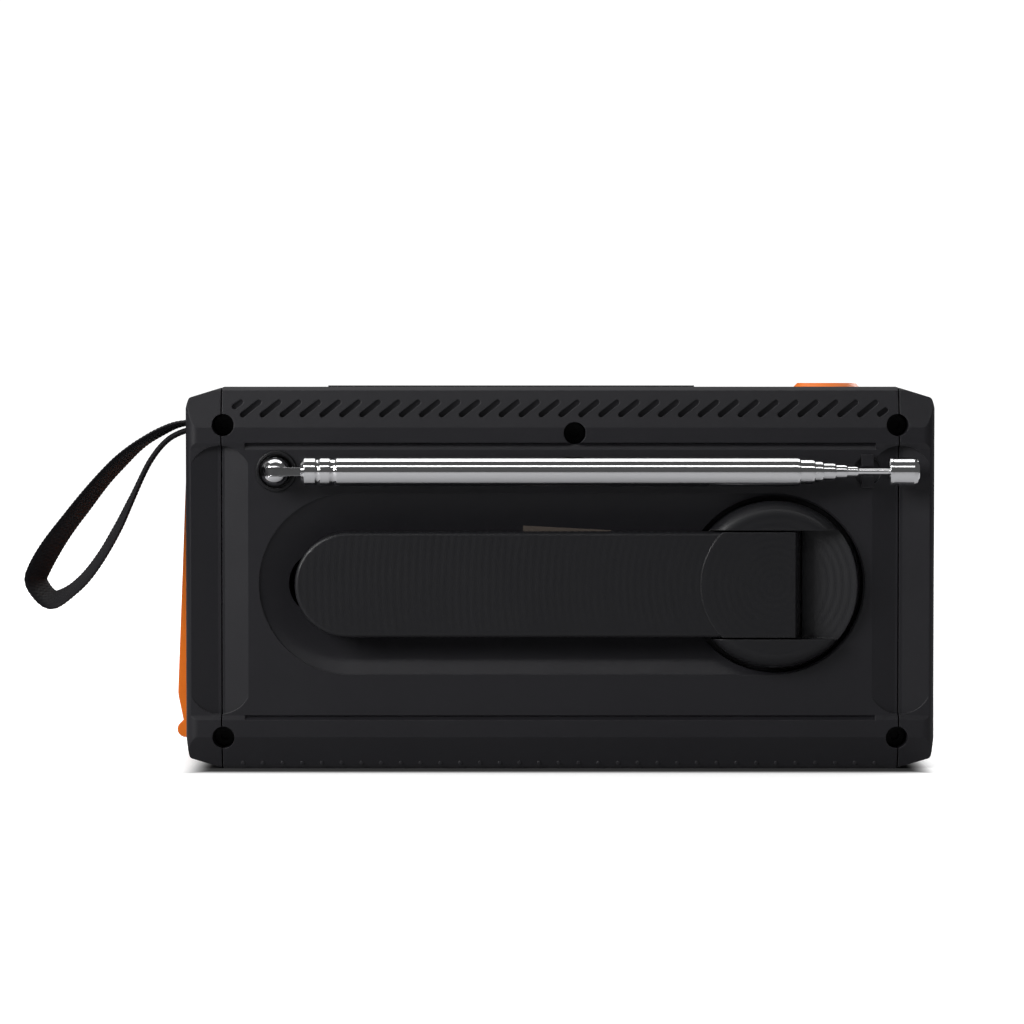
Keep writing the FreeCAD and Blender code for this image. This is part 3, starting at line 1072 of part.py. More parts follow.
def make_strap_end():
    """Socket cover with its hinge pin, the sockets, and the wrist strap on its pin."""
    face = "case_width / 2"
    profile = [
        (face + " + 0.15", "flap_bottom_z - flap_bead"), (face + " + 2", "flap_bottom_z - flap_bead"),
        (face + " + 2.1", "flap_bottom_z"), (face + " + flap_thick", "flap_crest_z"),
        (face + " + flap_thin", "flap_top_z"), (face + " + 0.15", "flap_top_z"),
    ]
    plate = prism("flap_plate", "XZ", profile, "flap_front_y", "flap_rear_y", [((3,), "8")])
    bead = cylinder("flap_pull", "Y",
                    (face + " + flap_bead - 0.3", "flap_front_y", "flap_bottom_z - flap_bead"),
                    "flap_bead", "flap_rear_y - flap_front_y")
    bead_trim = box("flap_pull_trim", (face + " - 2", "flap_front_y - 1", "0"),
                    (face + " + 0.15", "flap_rear_y + 1", "20"))
    plugs = [
        box("usb_a_plug", (face + " - 2.5", "port_y - 2.2", "usb_a_z - 5.8"),
            (face + " + 0.6", "port_y + 2.2", "usb_a_z + 5.6")),
        box("usb_c_plug", (face + " - 2.5", "port_y - 1.2", "usb_c_z - 3.9"),
            (face + " + 0.6", "port_y + 1.2", "usb_c_z + 3.7")),
        cylinder("jack_plug", "X", (face + " - 2.5", "port_y", "jack_z"), "1.5", "4"),
    ]
    node("port_cover", fuse("port_cover", plate, cut("flap_bead", bead, bead_trim), *plugs))
    socket_end = face + " - 3.5"
    usb_a = box("usb_a_shell", (socket_end + " - port_depth", "port_y - 2.9", "usb_a_z - 6.6"),
                (socket_end, "port_y + 2.9", "usb_a_z + 6.6"))
    usb_a_hollow = box("usb_a_mouth", (socket_end + " - 9", "port_y - 2.5", "usb_a_z - 6.2"),
                       (face, "port_y + 2.5", "usb_a_z + 6.2"))
    usb_a_tongue = box("usb_a_tongue", (socket_end + " - 10", "port_y", "usb_a_z - 5.6"),
                       (socket_end + " - 1", "port_y + 1.9", "usb_a_z + 5.6"))
    node("usb_a_port", fuse("usb_a_port", cut("usb_a_can", usb_a, usb_a_hollow), usb_a_tongue))
    usb_c = stadium("usb_c_shell", "YZ", ("port_y", "usb_c_z - 2.9"), ("port_y", "usb_c_z + 2.9"), "1.6",
                    socket_end + " - port_depth + 3", socket_end)
    usb_c_hollow = stadium("usb_c_mouth", "YZ", ("port_y", "usb_c_z - 2.9"), ("port_y", "usb_c_z + 2.9"),
                           "1.3",
                           socket_end + " - 6", face)
    usb_c_tongue = box("usb_c_tongue", (socket_end + " - 6.5", "port_y - 0.35", "usb_c_z - 3"),
                       (socket_end + " - 1", "port_y + 0.35", "usb_c_z + 3"))
    node("usb_c_port", fuse("usb_c_port", cut("usb_c_can", usb_c, usb_c_hollow), usb_c_tongue))
    jack = turned("headphone_jack", "X", (socket_end + " - port_depth", "port_y", "jack_z"), [
        ("1.8", "2"), ("1.8", "port_depth"), ("2.9", "port_depth"), ("2.9", "port_depth - 3"),
        ("3.8", "port_depth - 3"),
        ("3.8", "0"), ("0", "0"), ("0", "2"),
    ])
    node("headphone_jack", jack)
    node("socket_board", box("socket_board", (socket_end + " - port_depth - 1.6", "port_y - 8", "23.5"),
                             (socket_end + " - port_depth", "port_y + 8", "68")))
    make_strap()


def make_strap():
    """Loop of flat webbing whose ends meet round a pin inside the end cap."""
    face = value("case_width / 2")
    top = value("strap_z")
    outer = [(0, -0.6), (4.4, -1.7), (11.7, -5.9), (19, -12.7), (25.9, -21.1), (31.6, -28.7), (35.3, -35),
             (36.1, -38.4)]
    inner = [(33.2, -42.2), (30.3, -42), (25.3, -38.2), (20.9, -32.6), (16.7, -25.4), (13.4, -18.6),
             (9.1, -9.8), (4.8, -4.6), (0, -2.3)]
    path = [Vector(face + out, 0, top + up) for out, up in [(-2.4, -0.9)] + outer + inner + [(-2.4, -2.6)]]
    curve = Part.BSplineCurve()
    curve.interpolate(path)
    thick = value("strap_thick") / 2
    edges = []
    for offset in (thick * 0.9, -thick * 0.9):
        side = []
        for step in range(61):
            at = curve.FirstParameter + (curve.LastParameter - curve.FirstParameter) * step / 60
            run = curve.tangent(at)[0]
            side.append(curve.value(at) + Vector(run.z, 0, -run.x) * offset)
        bound = Part.BSplineCurve()
        bound.interpolate(side)
        edges.append(bound.toShape())
    first, second = edges
    ends = [Part.makeLine(first.Vertexes[end].Point, second.Vertexes[end].Point) for end in (0, -1)]
    wire = Part.Wire(Part.__sortEdges__([first, ends[1], second, ends[0]]))
    band = doc.addObject("Part::Feature", "wrist_strap")
    band.Shape = Part.Face(wire).extrude(Vector(0, value("strap_width"), 0))
    band.Placement = Placement(Vector(0, value("strap_y"), 0), Rotation())
    node("wrist_strap", band)
    node("strap_pin", cylinder("strap_pin", "Y", ("case_width / 2 - 3.7", "strap_y - 2.2", "strap_z - 1.75"),
                               "strap_pin", "strap_width + 4.4"))


def make_lamp():
    """Torch lens, reflector and emitter in the end cap opposite the strap."""
    face = "-case_width / 2"
    node("lamp_bezel", turned("lamp_bezel", "X", (face + " + 0.2", "lamp_y", "lamp_z"), [
        ("lamp_radius - 2.4", "0.6"), ("lamp_radius - 0.6", "0"), ("lamp_radius - 0.1", "0.6"),
        ("lamp_radius - 0.1", "8"), ("lamp_radius - 2.4", "8"),
    ]))
    node("lamp_lens", cylinder("lamp_lens", "X", (face + " + 1.2", "lamp_y", "lamp_z"),
                               "lamp_radius - 2.45", "1.4"))
    node("lamp_reflector", turned("lamp_reflector", "X", (face + " + 2.7", "lamp_y", "lamp_z"), [
        ("2.2", "5.6"), ("6", "4.4"), ("10", "2.6"), ("lamp_radius - 3.2", "0"), ("lamp_radius - 2.45", "0"),
        ("lamp_radius - 2.45", "0.6"), ("10.6", "3.4"), ("6.4", "5.2"), ("2.8", "6.6"), ("2.2", "6.6"),
    ]))
    node("lamp_emitter", fuse("lamp_emitter",
                              box("lamp_star", (face + " + 9.4", "lamp_y - 8", "lamp_z - 8"),
                                  (face + " + 10.8", "lamp_y + 8", "lamp_z + 8")),
                              cylinder("lamp_die", "X", (face + " + 8.3", "lamp_y", "lamp_z"), "1.6", "1.5")))


def make_label():
    """Blank sticker that follows the dished floor of the recess, set a little askew."""
    bend = dish_bend()
    spot = ("-20", "panel_y - recess_depth + " + bend, "hub_z")
    outline = [("-12", "hub_z - 6"), ("8.7", "hub_z - 5"), ("8.7", "hub_z + 13.6"), ("-12", "hub_z + 12.5")]
    patch = prism("label_patch", "XZ", outline, "panel_y - 2 * recess_depth", "panel_y - 1")
    skin = cylinder("label_under", "X", spot, bend, "40")
    face = cylinder("label_over", "X", spot, bend + " - 0.12", "40")
    node("blank_label", common("blank_label", patch, cut("label_skin", skin, face)))


def check_and_write():
    """Stop on any failed object, then write one file for each piece."""
    doc.recompute()
    for item in doc.Objects:
        if "Invalid" in item.State or "Error" in item.State:
            raise RuntimeError("failed object: " + item.Label)
    for item in nodes:
        if item.Shape.isNull() or not item.Shape.isValid():
            raise RuntimeError("bad shape: " + item.Label)
    os.makedirs("parts", exist_ok=True)
    for item in nodes:
        item.Shape.exportStep("parts/%s.step" % item.Label)


fill_sheet()
make_case()
make_crank()
make_gear_train()
make_antenna()
make_top()
make_speaker()
make_front_controls()
make_electronics()
make_strap_end()
make_lamp()
make_label()
check_and_write()
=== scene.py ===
import json
import math

import bpy
from mathutils import Matrix, Vector


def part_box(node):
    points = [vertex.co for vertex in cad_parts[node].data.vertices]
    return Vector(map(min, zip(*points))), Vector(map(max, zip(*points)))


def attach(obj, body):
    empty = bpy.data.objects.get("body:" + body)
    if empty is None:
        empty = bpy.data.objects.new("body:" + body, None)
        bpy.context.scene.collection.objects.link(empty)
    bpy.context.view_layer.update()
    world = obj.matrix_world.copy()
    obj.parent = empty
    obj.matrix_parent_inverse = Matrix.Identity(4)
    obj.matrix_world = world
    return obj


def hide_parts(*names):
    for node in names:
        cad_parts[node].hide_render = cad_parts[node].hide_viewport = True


MM = 0.001

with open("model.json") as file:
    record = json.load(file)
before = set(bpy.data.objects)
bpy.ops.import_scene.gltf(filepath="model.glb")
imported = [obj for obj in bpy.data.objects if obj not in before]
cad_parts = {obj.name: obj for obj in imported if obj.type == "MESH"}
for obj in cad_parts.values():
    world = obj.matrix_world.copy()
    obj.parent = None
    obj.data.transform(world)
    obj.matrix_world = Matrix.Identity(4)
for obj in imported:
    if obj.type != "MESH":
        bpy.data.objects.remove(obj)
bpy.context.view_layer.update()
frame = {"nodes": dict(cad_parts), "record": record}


# ---------------------------------------------------------------- places taken from the frame


def middle(node):
    """Centre of a node's box at rest."""
    low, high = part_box(node)
    return (Vector(low) + Vector(high)) / 2


HUB = middle("crank_hub")
COLLAR_RISE = 0.7 * MM
PANEL_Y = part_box("antenna_collar")[1][1] - COLLAR_RISE
CASE_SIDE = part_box("strap_end_cap")[1][0]
CASE_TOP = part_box("front_case")[1][2]
FRONT_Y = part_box("front_case")[0][1]


# ---------------------------------------------------------------- shader helpers


def new_material(name):
    """Empty node material, with its tree and its shader."""
    material = bpy.data.materials.new(name)
    material.use_nodes = True
    return material, material.node_tree, material.node_tree.nodes["Principled BSDF"]


def add(tree, kind, inputs=None, **settings):
    """New node with its settings, and inputs given as values or as sockets to link."""
    item = tree.nodes.new(kind)
    for key, setting in settings.items():
        setattr(item, key, setting)
    for key, given in (inputs or {}).items():
        connect(tree, item.inputs[key], given)
    return item


def connect(tree, socket, given):
    """Link a socket, or set a plain value."""
    if isinstance(given, bpy.types.NodeSocket):
        tree.links.new(given, socket)
    else:
        socket.default_value = given


def math_node(tree, operation, first, second=0.0):
    return add(tree, "ShaderNodeMath", {0: first, 1: second}, operation=operation).outputs[0]


def scaled(tree, factor, low, high):
    """Map 0..1 onto low..high."""
    return add(tree, "ShaderNodeMapRange", {"Value": factor, "To Min": low, "To Max": high}).outputs[0]


def place_coords(tree, stretch=(1, 1, 1)):
    """Position in the row frame, in metres, stretched on each axis."""
    coords = add(tree, "ShaderNodeTexCoord").outputs["Object"]
    return add(tree, "ShaderNodeMapping", {"Vector": coords, "Scale": stretch}).outputs[0]


def noise(tree, vector, scale, detail=3.0, roughness=0.5):
    return add(tree, "ShaderNodeTexNoise",
               {"Vector": vector, "Scale": scale, "Detail": detail, "Roughness": roughness}).outputs["Fac"]


def mix_colour(tree, factor, first, second, blend="MIX"):
    item = add(tree, "ShaderNodeMix", data_type="RGBA", blend_type=blend)
    for key, given in ((0, factor), (6, first), (7, second)):
        connect(tree, item.inputs[key], given)
    return item.outputs[2]


def shade(colour, factor):
    """The colour made lighter or darker."""
    return tuple(min(1.0, part * factor) for part in colour[:3]) + (1.0,)


def worn_edges(tree, width, gain):
    """Bright along convex edges, where a rounded normal leaves the face's own."""
    soft = add(tree, "ShaderNodeBevel", {"Radius": width}, samples=4).outputs[0]
    true = add(tree, "ShaderNodeNewGeometry").outputs["Normal"]
    dot = add(tree, "ShaderNodeVectorMath", {0: soft, 1: true}, operation="DOT_PRODUCT").outputs["Value"]
    return math_node(tree, "MINIMUM",
                     math_node(tree, "MULTIPLY", math_node(tree, "SUBTRACT", 1.0, dot), gain), 1.0)


def bump(tree, height, distance, strength=1.0, normal=None):
    item = add(tree, "ShaderNodeBump", {"Height": height, "Distance": distance, "Strength": strength})
    if normal is not None:
        tree.links.new(normal, item.inputs["Normal"])
    return item.outputs[0]


def soft_normal(tree, radius):
    """Normal that rounds sharp edges to a small radius."""
    return add(tree, "ShaderNodeBevel", {"Radius": radius}, samples=4).outputs[0]


# ---------------------------------------------------------------- materials


def moulded_plastic(name, colour, roughness=0.42, grain=0.28 * MM, depth=0.012 * MM, edge=0.25 * MM,
                    wear=0.3, cloud=0.1, gleam=0.3):
    """Spark-eroded plastic: fine grain, cloudy tone, handled patches, and paler rubbed edges."""
    material, tree, shader = new_material(name)
    shader.inputs["Specular IOR Level"].default_value = gleam
    place = place_coords(tree)
    clouds = noise(tree, place, 38.0, 4.0)
    base = mix_colour(tree, clouds, shade(colour, 1 - cloud), shade(colour, 1 + cloud))
    rubbed = mix_colour(tree, math_node(tree, "MULTIPLY", worn_edges(tree, edge, 3.0), wear), base,
                        shade([part + 0.05 for part in colour[:3]], 1.6))
    connect(tree, shader.inputs["Base Color"], rubbed)
    smudges = noise(tree, place, 120.0, 5.0, 0.6)
    connect(tree, shader.inputs["Roughness"], scaled(tree, smudges, roughness - 0.07, roughness + 0.09))
    height = noise(tree, place, 1 / grain, 2.0, 0.7)
    connect(tree, shader.inputs["Normal"], bump(tree, height, depth, 1.0, soft_normal(tree, edge)))
    return material


def crank_plastic(name, colour):
    """Moulded plastic with faint arcs about the hub, left by turning the mould."""
    material = moulded_plastic(name, colour, roughness=0.36, grain=0.3 * MM, depth=0.008 * MM, edge=0.35 * MM)
    tree = material.node_tree
    shader = tree.nodes["Principled BSDF"]
    coords = add(tree, "ShaderNodeTexCoord").outputs["Object"]
    arm = add(tree, "ShaderNodeVectorMath", {0: coords, 1: tuple(HUB)}, operation="SUBTRACT").outputs[0]
    flat = add(tree, "ShaderNodeVectorMath", {0: arm, 1: (1, 0, 1)}, operation="MULTIPLY").outputs[0]
    reach = add(tree, "ShaderNodeVectorMath", {0: flat}, operation="LENGTH").outputs["Value"]
    wobble = math_node(tree, "MULTIPLY", noise(tree, coords, 60.0, 2.0), 1.2 * MM)
    phase = math_node(tree, "MULTIPLY", math_node(tree, "ADD", reach, wobble), 2 * math.pi / (1.7 * MM))
    ripple = math_node(tree, "MULTIPLY", math_node(tree, "SINE", phase), 0.5)
    patchy = math_node(tree, "MULTIPLY", ripple, noise(tree, coords, 90.0, 3.0))
    before = shader.inputs["Normal"].links[0].from_socket
    connect(tree, shader.inputs["Normal"], bump(tree, patchy, 0.008 * MM, 1.0, before))
    rough = shader.inputs["Roughness"].links[0].from_socket
    connect(tree, shader.inputs["Roughness"],
            math_node(tree, "ADD", rough, math_node(tree, "MULTIPLY", patchy, 0.22)))
    return material


def gloss_plastic(name, colour, roughness=0.16):
    material, tree, shader = new_material(name)
    place = place_coords(tree)
    tone = noise(tree, place, 30.0, 2.0)
    connect(tree, shader.inputs["Base Color"],
            mix_colour(tree, tone, shade(colour, 0.93), shade(colour, 1.07)))
    prints = noise(tree, place, 260.0, 6.0, 0.65)
    connect(tree, shader.inputs["Roughness"], scaled(tree, prints, roughness - 0.05, roughness + 0.1))
    ripple = noise(tree, place, 140.0, 1.0)
    connect(tree, shader.inputs["Normal"], bump(tree, ripple, 0.01 * MM, 0.6, soft_normal(tree, 0.3 * MM)))
    return material


def rubber(name, colour):
    """Soft orange rubber: velvety, a little dusty, with a pebbled surface."""
    material, tree, shader = new_material(name)
    place = place_coords(tree)
    dust = noise(tree, place, 55.0, 6.0, 0.6)
    base = mix_colour(tree, dust, shade(colour, 0.86), shade(colour, 1.1))
    pale = mix_colour(tree, math_node(tree, "MULTIPLY", worn_edges(tree, 0.4 * MM, 2.0), 0.25), base,
                      shade([part + 0.04 for part in colour[:3]], 1.05))
    connect(tree, shader.inputs["Base Color"], pale)
    connect(tree, shader.inputs["Roughness"], scaled(tree, dust, 0.52, 0.74))
    shader.inputs["Specular IOR Level"].default_value = 0.3
    shader.inputs["Sheen Weight"].default_value = 0.05
    pebble = add(tree, "ShaderNodeTexVoronoi", {"Vector": place, "Scale": 1500.0}).outputs["Distance"]
    connect(tree, shader.inputs["Normal"], bump(tree, pebble, 0.02 * MM, 0.7, soft_normal(tree, 0.5 * MM)))
    return material


def metal(name, colour, roughness, stretch, scratch_depth, tarnish=0.0, spots=0.5):
    """Metal with fine drawn scratches along one axis, smears, and optional tarnish."""
    material, tree, shader = new_material(name)
    shader.inputs["Metallic"].default_value = 1.0
    drawn = noise(tree, place_coords(tree, stretch), 900.0, 5.0, 0.7)
    smear = noise(tree, place_coords(tree), 70.0, 4.0, 0.55)
    dull = mix_colour(tree, math_node(tree, "MULTIPLY", smear, tarnish), colour, shade(colour, spots))
    connect(tree, shader.inputs["Base Color"], dull)
    streaks = scaled(tree, drawn, roughness * 0.6, roughness * 1.5)
    connect(tree, shader.inputs["Roughness"],
            math_node(tree, "ADD", streaks, math_node(tree, "MULTIPLY", smear, 0.04)))
    connect(tree, shader.inputs["Normal"],
            bump(tree, drawn, scratch_depth, 0.5, soft_normal(tree, 0.12 * MM)))
    return material


def circuit_board(name):
    """Green solder mask over copper tracks."""
    material, tree, shader = new_material(name)
    place = place_coords(tree)
    tracks = add(tree, "ShaderNodeTexBrick", {"Vector": place, "Scale": 190.0, "Mortar Size": 0.06,
                                              "Color1": (0.01, 0.12, 0.04, 1),
                                              "Color2": (0.012, 0.1, 0.035, 1),
                                              "Mortar": (0.03, 0.24, 0.09, 1)})
    tint = mix_colour(tree, noise(tree, place, 80.0), tracks.outputs["Color"], (0.015, 0.15, 0.05, 1))
    connect(tree, shader.inputs["Base Color"], tint)
    connect(tree, shader.inputs["Roughness"], scaled(tree, noise(tree, place, 300.0), 0.25, 0.4))
    connect(tree, shader.inputs["Normal"], bump(tree, tracks.outputs["Fac"], 0.03 * MM))
    return material


def solar_film(name):
    """Dark cells with silver fingers and bus bars under a clear resin coat."""
    material, tree, shader = new_material(name)
    low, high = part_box("solar_panel")
    coords = add(tree, "ShaderNodeTexCoord").outputs["Object"]
    axes = add(tree, "ShaderNodeSeparateXYZ", {"Vector": coords})
    across = math_node(tree, "SUBTRACT", axes.outputs["X"], low[0])
    along = math_node(tree, "SUBTRACT", axes.outputs["Y"], low[1])
    cell = (high[0] - low[0]) / 8
    gaps = thin_lines(tree, across, cell, 0.5 * MM)
    bars = thin_lines(tree, along, (high[1] - low[1]) / 3, 0.6 * MM)
    fingers = thin_lines(tree, along, 1.4 * MM, 0.14 * MM)
    crystal = add(tree, "ShaderNodeTexVoronoi", {"Vector": coords, "Scale": 340.0}).outputs["Color"]
    silicon = mix_colour(tree, 0.04, (0.008, 0.012, 0.03, 1), crystal)
    silver = (0.45, 0.46, 0.48, 1)
    with_fingers = mix_colour(tree, math_node(tree, "MULTIPLY", fingers, 0.35), silicon, silver)
    with_bars = mix_colour(tree, bars, with_fingers, silver)
    connect(tree, shader.inputs["Base Color"], mix_colour(tree, gaps, with_bars, (0.012, 0.012, 0.014, 1)))
    connect(tree, shader.inputs["Roughness"], scaled(tree, noise(tree, coords, 160.0, 4.0), 0.18, 0.3))
    shader.inputs["Coat Weight"].default_value = 1.0
    shader.inputs["Coat Roughness"].default_value = 0.06
    connect(tree, shader.inputs["Normal"], bump(tree, noise(tree, coords, 260.0, 2.0), 0.012 * MM, 0.6))
    return material


def thin_lines(tree, distance, pitch, width):
    """One where a distance falls on a line of the given pitch and width, else zero."""
    inside = math_node(tree, "MODULO", math_node(tree, "ADD", distance, width / 2), pitch)
    return math_node(tree, "LESS_THAN", inside, width)


def display_film(name):
    """Backlit liquid crystal with its pixel grid."""
    material, tree, shader = new_material(name)
    place = place_coords(tree)
    glow = noise(tree, place, 22.0, 1.0)
    base = mix_colour(tree, glow, (0.25, 0.34, 0.24, 1), (0.36, 0.46, 0.32, 1))
    axes = add(tree, "ShaderNodeSeparateXYZ", {"Vector": place})
    grid = math_node(tree, "MAXIMUM",
                     thin_lines(tree, math_node(tree, "ADD", axes.outputs["X"], 1.0), 0.5 * MM, 0.05 * MM),
                     thin_lines(tree, math_node(tree, "ADD", axes.outputs["Z"], 1.0), 0.5 * MM, 0.05 * MM))
    faint = mix_colour(tree, math_node(tree, "MULTIPLY", grid, 0.15), base, (0.1, 0.14, 0.1, 1))
    connect(tree, shader.inputs["Base Color"], faint)
    connect(tree, shader.inputs["Emission Color"], faint)
    shader.inputs["Emission Strength"].default_value = 0.55
    connect(tree, shader.inputs["Roughness"], scaled(tree, glow, 0.25, 0.35))
    return material


def clear_lens(name, colour, roughness=0.02):
    material, tree, shader = new_material(name)
    place = place_coords(tree)
    shader.inputs["Transmission Weight"].default_value = 1.0
    shader.inputs["IOR"].default_value = 1.49
    connect(tree, shader.inputs["Base Color"],
            mix_colour(tree, noise(tree, place, 20.0), shade(colour, 0.97), colour))
    connect(tree, shader.inputs["Roughness"],
            scaled(tree, noise(tree, place, 300.0, 6.0), roughness, roughness + 0.05))
    connect(tree, shader.inputs["Normal"], bump(tree, noise(tree, place, 500.0, 3.0), 0.002 * MM, 0.4))
    return material


def ribbed_lens(name):
    """Clear torch lens with moulded rings about its axis."""
    material = clear_lens(name, (0.95, 0.96, 0.97, 1))
    tree = material.node_tree
    centre = middle("lamp_lens")
    coords = add(tree, "ShaderNodeTexCoord").outputs["Object"]
    offset = add(tree, "ShaderNodeVectorMath", {0: coords, 1: tuple(centre)}, operation="SUBTRACT").outputs[0]
    flat = add(tree, "ShaderNodeVectorMath", {0: offset, 1: (0, 1, 1)}, operation="MULTIPLY").outputs[0]
    reach = add(tree, "ShaderNodeVectorMath", {0: flat}, operation="LENGTH").outputs["Value"]
    rings = math_node(tree, "SINE", math_node(tree, "MULTIPLY", reach, 2 * math.pi / (1.6 * MM)))
    shader = tree.nodes["Principled BSDF"]
    connect(tree, shader.inputs["Normal"], bump(tree, rings, 0.08 * MM, 0.8))
    return material


def paper(name, colour, fibre=900.0):
    material, tree, shader = new_material(name)
    place = place_coords(tree)
    fibres = noise(tree, place_coords(tree, (1, 3, 1)), fibre, 6.0, 0.7)
    stain = noise(tree, place, 45.0, 3.0)
    base = mix_colour(tree, fibres, shade(colour, 0.88), shade(colour, 1.08))
    connect(tree, shader.inputs["Base Color"], mix_colour(tree, math_node(tree, "MULTIPLY", stain, 0.2), base,
                                                         shade(colour, 0.7)))
    connect(tree, shader.inputs["Roughness"], scaled(tree, fibres, 0.6, 0.85))
    connect(tree, shader.inputs["Normal"], bump(tree, fibres, 0.03 * MM))
    return material


def webbing(name):
    """Black polyester yarn; the mesh carries the ribs and this adds the twisted filaments."""
    material, tree, shader = new_material(name)
    flow = add(tree, "ShaderNodeTexCoord").outputs["UV"]
    yarn = add(tree, "ShaderNodeMapping", {"Vector": flow, "Scale": (2600.0, 5200.0, 1.0),
                                           "Rotation": (0, 0, math.radians(32))}).outputs[0]
    strands = add(tree, "ShaderNodeTexWave",
                  {"Vector": yarn, "Scale": 0.32, "Distortion": 1.6, "Detail": 2.0}).outputs["Fac"]
    fuzz = noise(tree, place_coords(tree), 2400.0, 4.0, 0.7)
    lint = noise(tree, place_coords(tree), 210.0, 3.0)
    base = mix_colour(tree, strands, (0.008, 0.008, 0.01, 1), (0.02, 0.019, 0.021, 1))
    connect(tree, shader.inputs["Base Color"], mix_colour(tree, math_node(tree, "MULTIPLY", lint, 0.2), base,
                                                         (0.02, 0.018, 0.017, 1)))
    connect(tree, shader.inputs["Roughness"], scaled(tree, fuzz, 0.6, 0.85))
    shader.inputs["Specular IOR Level"].default_value = 0.12
    shader.inputs["Sheen Weight"].default_value = 0.03
    shader.inputs["Sheen Roughness"].default_value = 0.45
    height = math_node(tree, "ADD", strands, math_node(tree, "MULTIPLY", fuzz, 0.5))
    connect(tree, shader.inputs["Normal"], bump(tree, height, 0.02 * MM, 0.6))
    return material


def pad_print(name, colour):
    """Slightly raised ink, thinner at random."""
    material, tree, shader = new_material(name)
    place = place_coords(tree)
    speckle = noise(tree, place, 1800.0, 3.0)
    connect(tree, shader.inputs["Base Color"], mix_colour(tree, speckle, shade(colour, 0.8), colour))
    connect(tree, shader.inputs["Roughness"], scaled(tree, speckle, 0.4, 0.6))
    connect(tree, shader.inputs["Normal"], bump(tree, speckle, 0.004 * MM))
    return material


BLACK = (0.0152, 0.0148, 0.0175)

MATERIALS = {
    "case_black": moulded_plastic("case_moulded_black", BLACK, roughness=0.4),
    "crank_black": crank_plastic("crank_moulded_black", (0.0125, 0.0125, 0.0142)),
    "grille_black": moulded_plastic("grille_black", (0.012, 0.012, 0.0135), roughness=0.34, grain=0.18 * MM),
    "key_grey": moulded_plastic("key_grey", (0.075, 0.076, 0.08), roughness=0.45, grain=0.15 * MM),
    "signal_orange": moulded_plastic("button_orange", (0.85, 0.18, 0.008), roughness=0.38, grain=0.2 * MM,
                                     wear=0.15),
    "orange_rubber": rubber("cover_orange_rubber", (0.9, 0.19, 0.008)),
    "chrome": metal("antenna_chrome", (0.86, 0.86, 0.87, 1), 0.07, (0.03, 1, 1), 0.002 * MM),
    "collar_black": moulded_plastic("collar_black", (0.01, 0.01, 0.011), roughness=0.3, grain=0.2 * MM),
    "steel": metal("plated_steel", (0.52, 0.52, 0.53, 1), 0.26, (1, 0.08, 1), 0.006 * MM, 0.5, 0.6),
    "black_oxide": moulded_plastic("blackened_steel", (0.004, 0.004, 0.0042), roughness=0.5, gleam=0.2,
                                   wear=0.1),
    "rotor_steel": metal("ground_steel", (0.36, 0.36, 0.37, 1), 0.3, (1, 1, 0.08), 0.008 * MM, 0.5, 0.5),
    "brass": metal("turned_brass", (0.78, 0.57, 0.26, 1), 0.22, (1, 0.1, 1), 0.006 * MM, 0.6, 0.5),
    "gear_nylon": moulded_plastic("gear_nylon", (0.72, 0.69, 0.6), roughness=0.42, grain=0.35 * MM, wear=0.1),
    "solar_cells": solar_film("solar_cells"),
    "solar_rim": moulded_plastic("solar_rim", (0.012, 0.012, 0.013), roughness=0.3, grain=0.2 * MM),
    "lens_clear": ribbed_lens("torch_lens"),
    "lens_smoke": clear_lens("display_window", (0.32, 0.34, 0.36, 1)),
    "lcd": display_film("display_film"),
    "reflector": metal("mirror_reflector", (0.9, 0.9, 0.9, 1), 0.05, (1, 1, 1), 0.001 * MM),
    "circuit_board": circuit_board("circuit_board"),
    "black_moulding": moulded_plastic("inner_moulding", (0.02, 0.02, 0.021), roughness=0.5),
    "cell_sleeve": gloss_plastic("cell_sleeve", (0.03, 0.16, 0.38)),
    "ferrite": moulded_plastic("sintered_ferrite", (0.05, 0.05, 0.052), roughness=0.6, grain=0.4 * MM,
                               depth=0.04 * MM),
    "speaker_metal": metal("pressed_steel", (0.2, 0.2, 0.21, 1), 0.4, (1, 1, 0.2), 0.006 * MM, 0.4),
    "cone_paper": paper("speaker_pulp", (0.045, 0.044, 0.042)),
    # Sticker: its own brownish colour, darkened further as painted shade for the recess it sits in under the
    # crank arm.
    "sticker": paper("blank_sticker_shade_darkened", (0.1, 0.08, 0.066), 1400.0),
}


def dress_nodes():
    """Give every carried-over CAD node the material of its slot."""
    for entry in frame["record"]["subparts"]:
        material = MATERIALS.get(entry["material_slot"])
        piece = frame["nodes"].get(entry["node"])
        if material is None or piece is None:
            continue
        for slot in piece.material_slots:
            slot.material = material


# ---------------------------------------------------------------- mesh helpers


def mesh_piece(name, vertices, faces, body, material):
    data = bpy.data.meshes.new(name)
    data.from_pydata([tuple(vertex) for vertex in vertices], [], faces)
    data.update()
    piece = bpy.data.objects.new(name, data)
    bpy.context.collection.objects.link(piece)
    data.materials.append(material)
    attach(piece, body)
    return piece


def smooth(piece):
    """Shade the faces smoothly."""
    for face in piece.data.polygons:
        face.use_smooth = True


def plates(outlines, base_y, thick):
    """Closed plates in the XZ plane, raised from base_y towards -Y."""
    vertices = []
    faces = []
    for outline in outlines:
        start = len(vertices)
        count = len(outline)
        vertices += [(x, base_y, z) for x, z in outline]
        vertices += [(x, base_y - thick, z) for x, z in outline]
        faces.append([start + index for index in reversed(range(count))])
        faces.append([start + count + index for index in range(count)])
        for index in range(count):
            after = (index + 1) % count
            faces.append([start + index, start + after, start + count + after, start + count + index])
    return vertices, faces


def bar(first, last, width):
    """Corners of a straight bar between two points of the XZ plane."""
    run = Vector((last[0] - first[0], last[1] - first[1])).normalized()
    side = Vector((-run.y, run.x)) * width / 2
    return [(first[0] + side.x, first[1] + side.y), (first[0] - side.x, first[1] - side.y),
            (last[0] - side.x, last[1] - side.y), (last[0] + side.x, last[1] + side.y)]


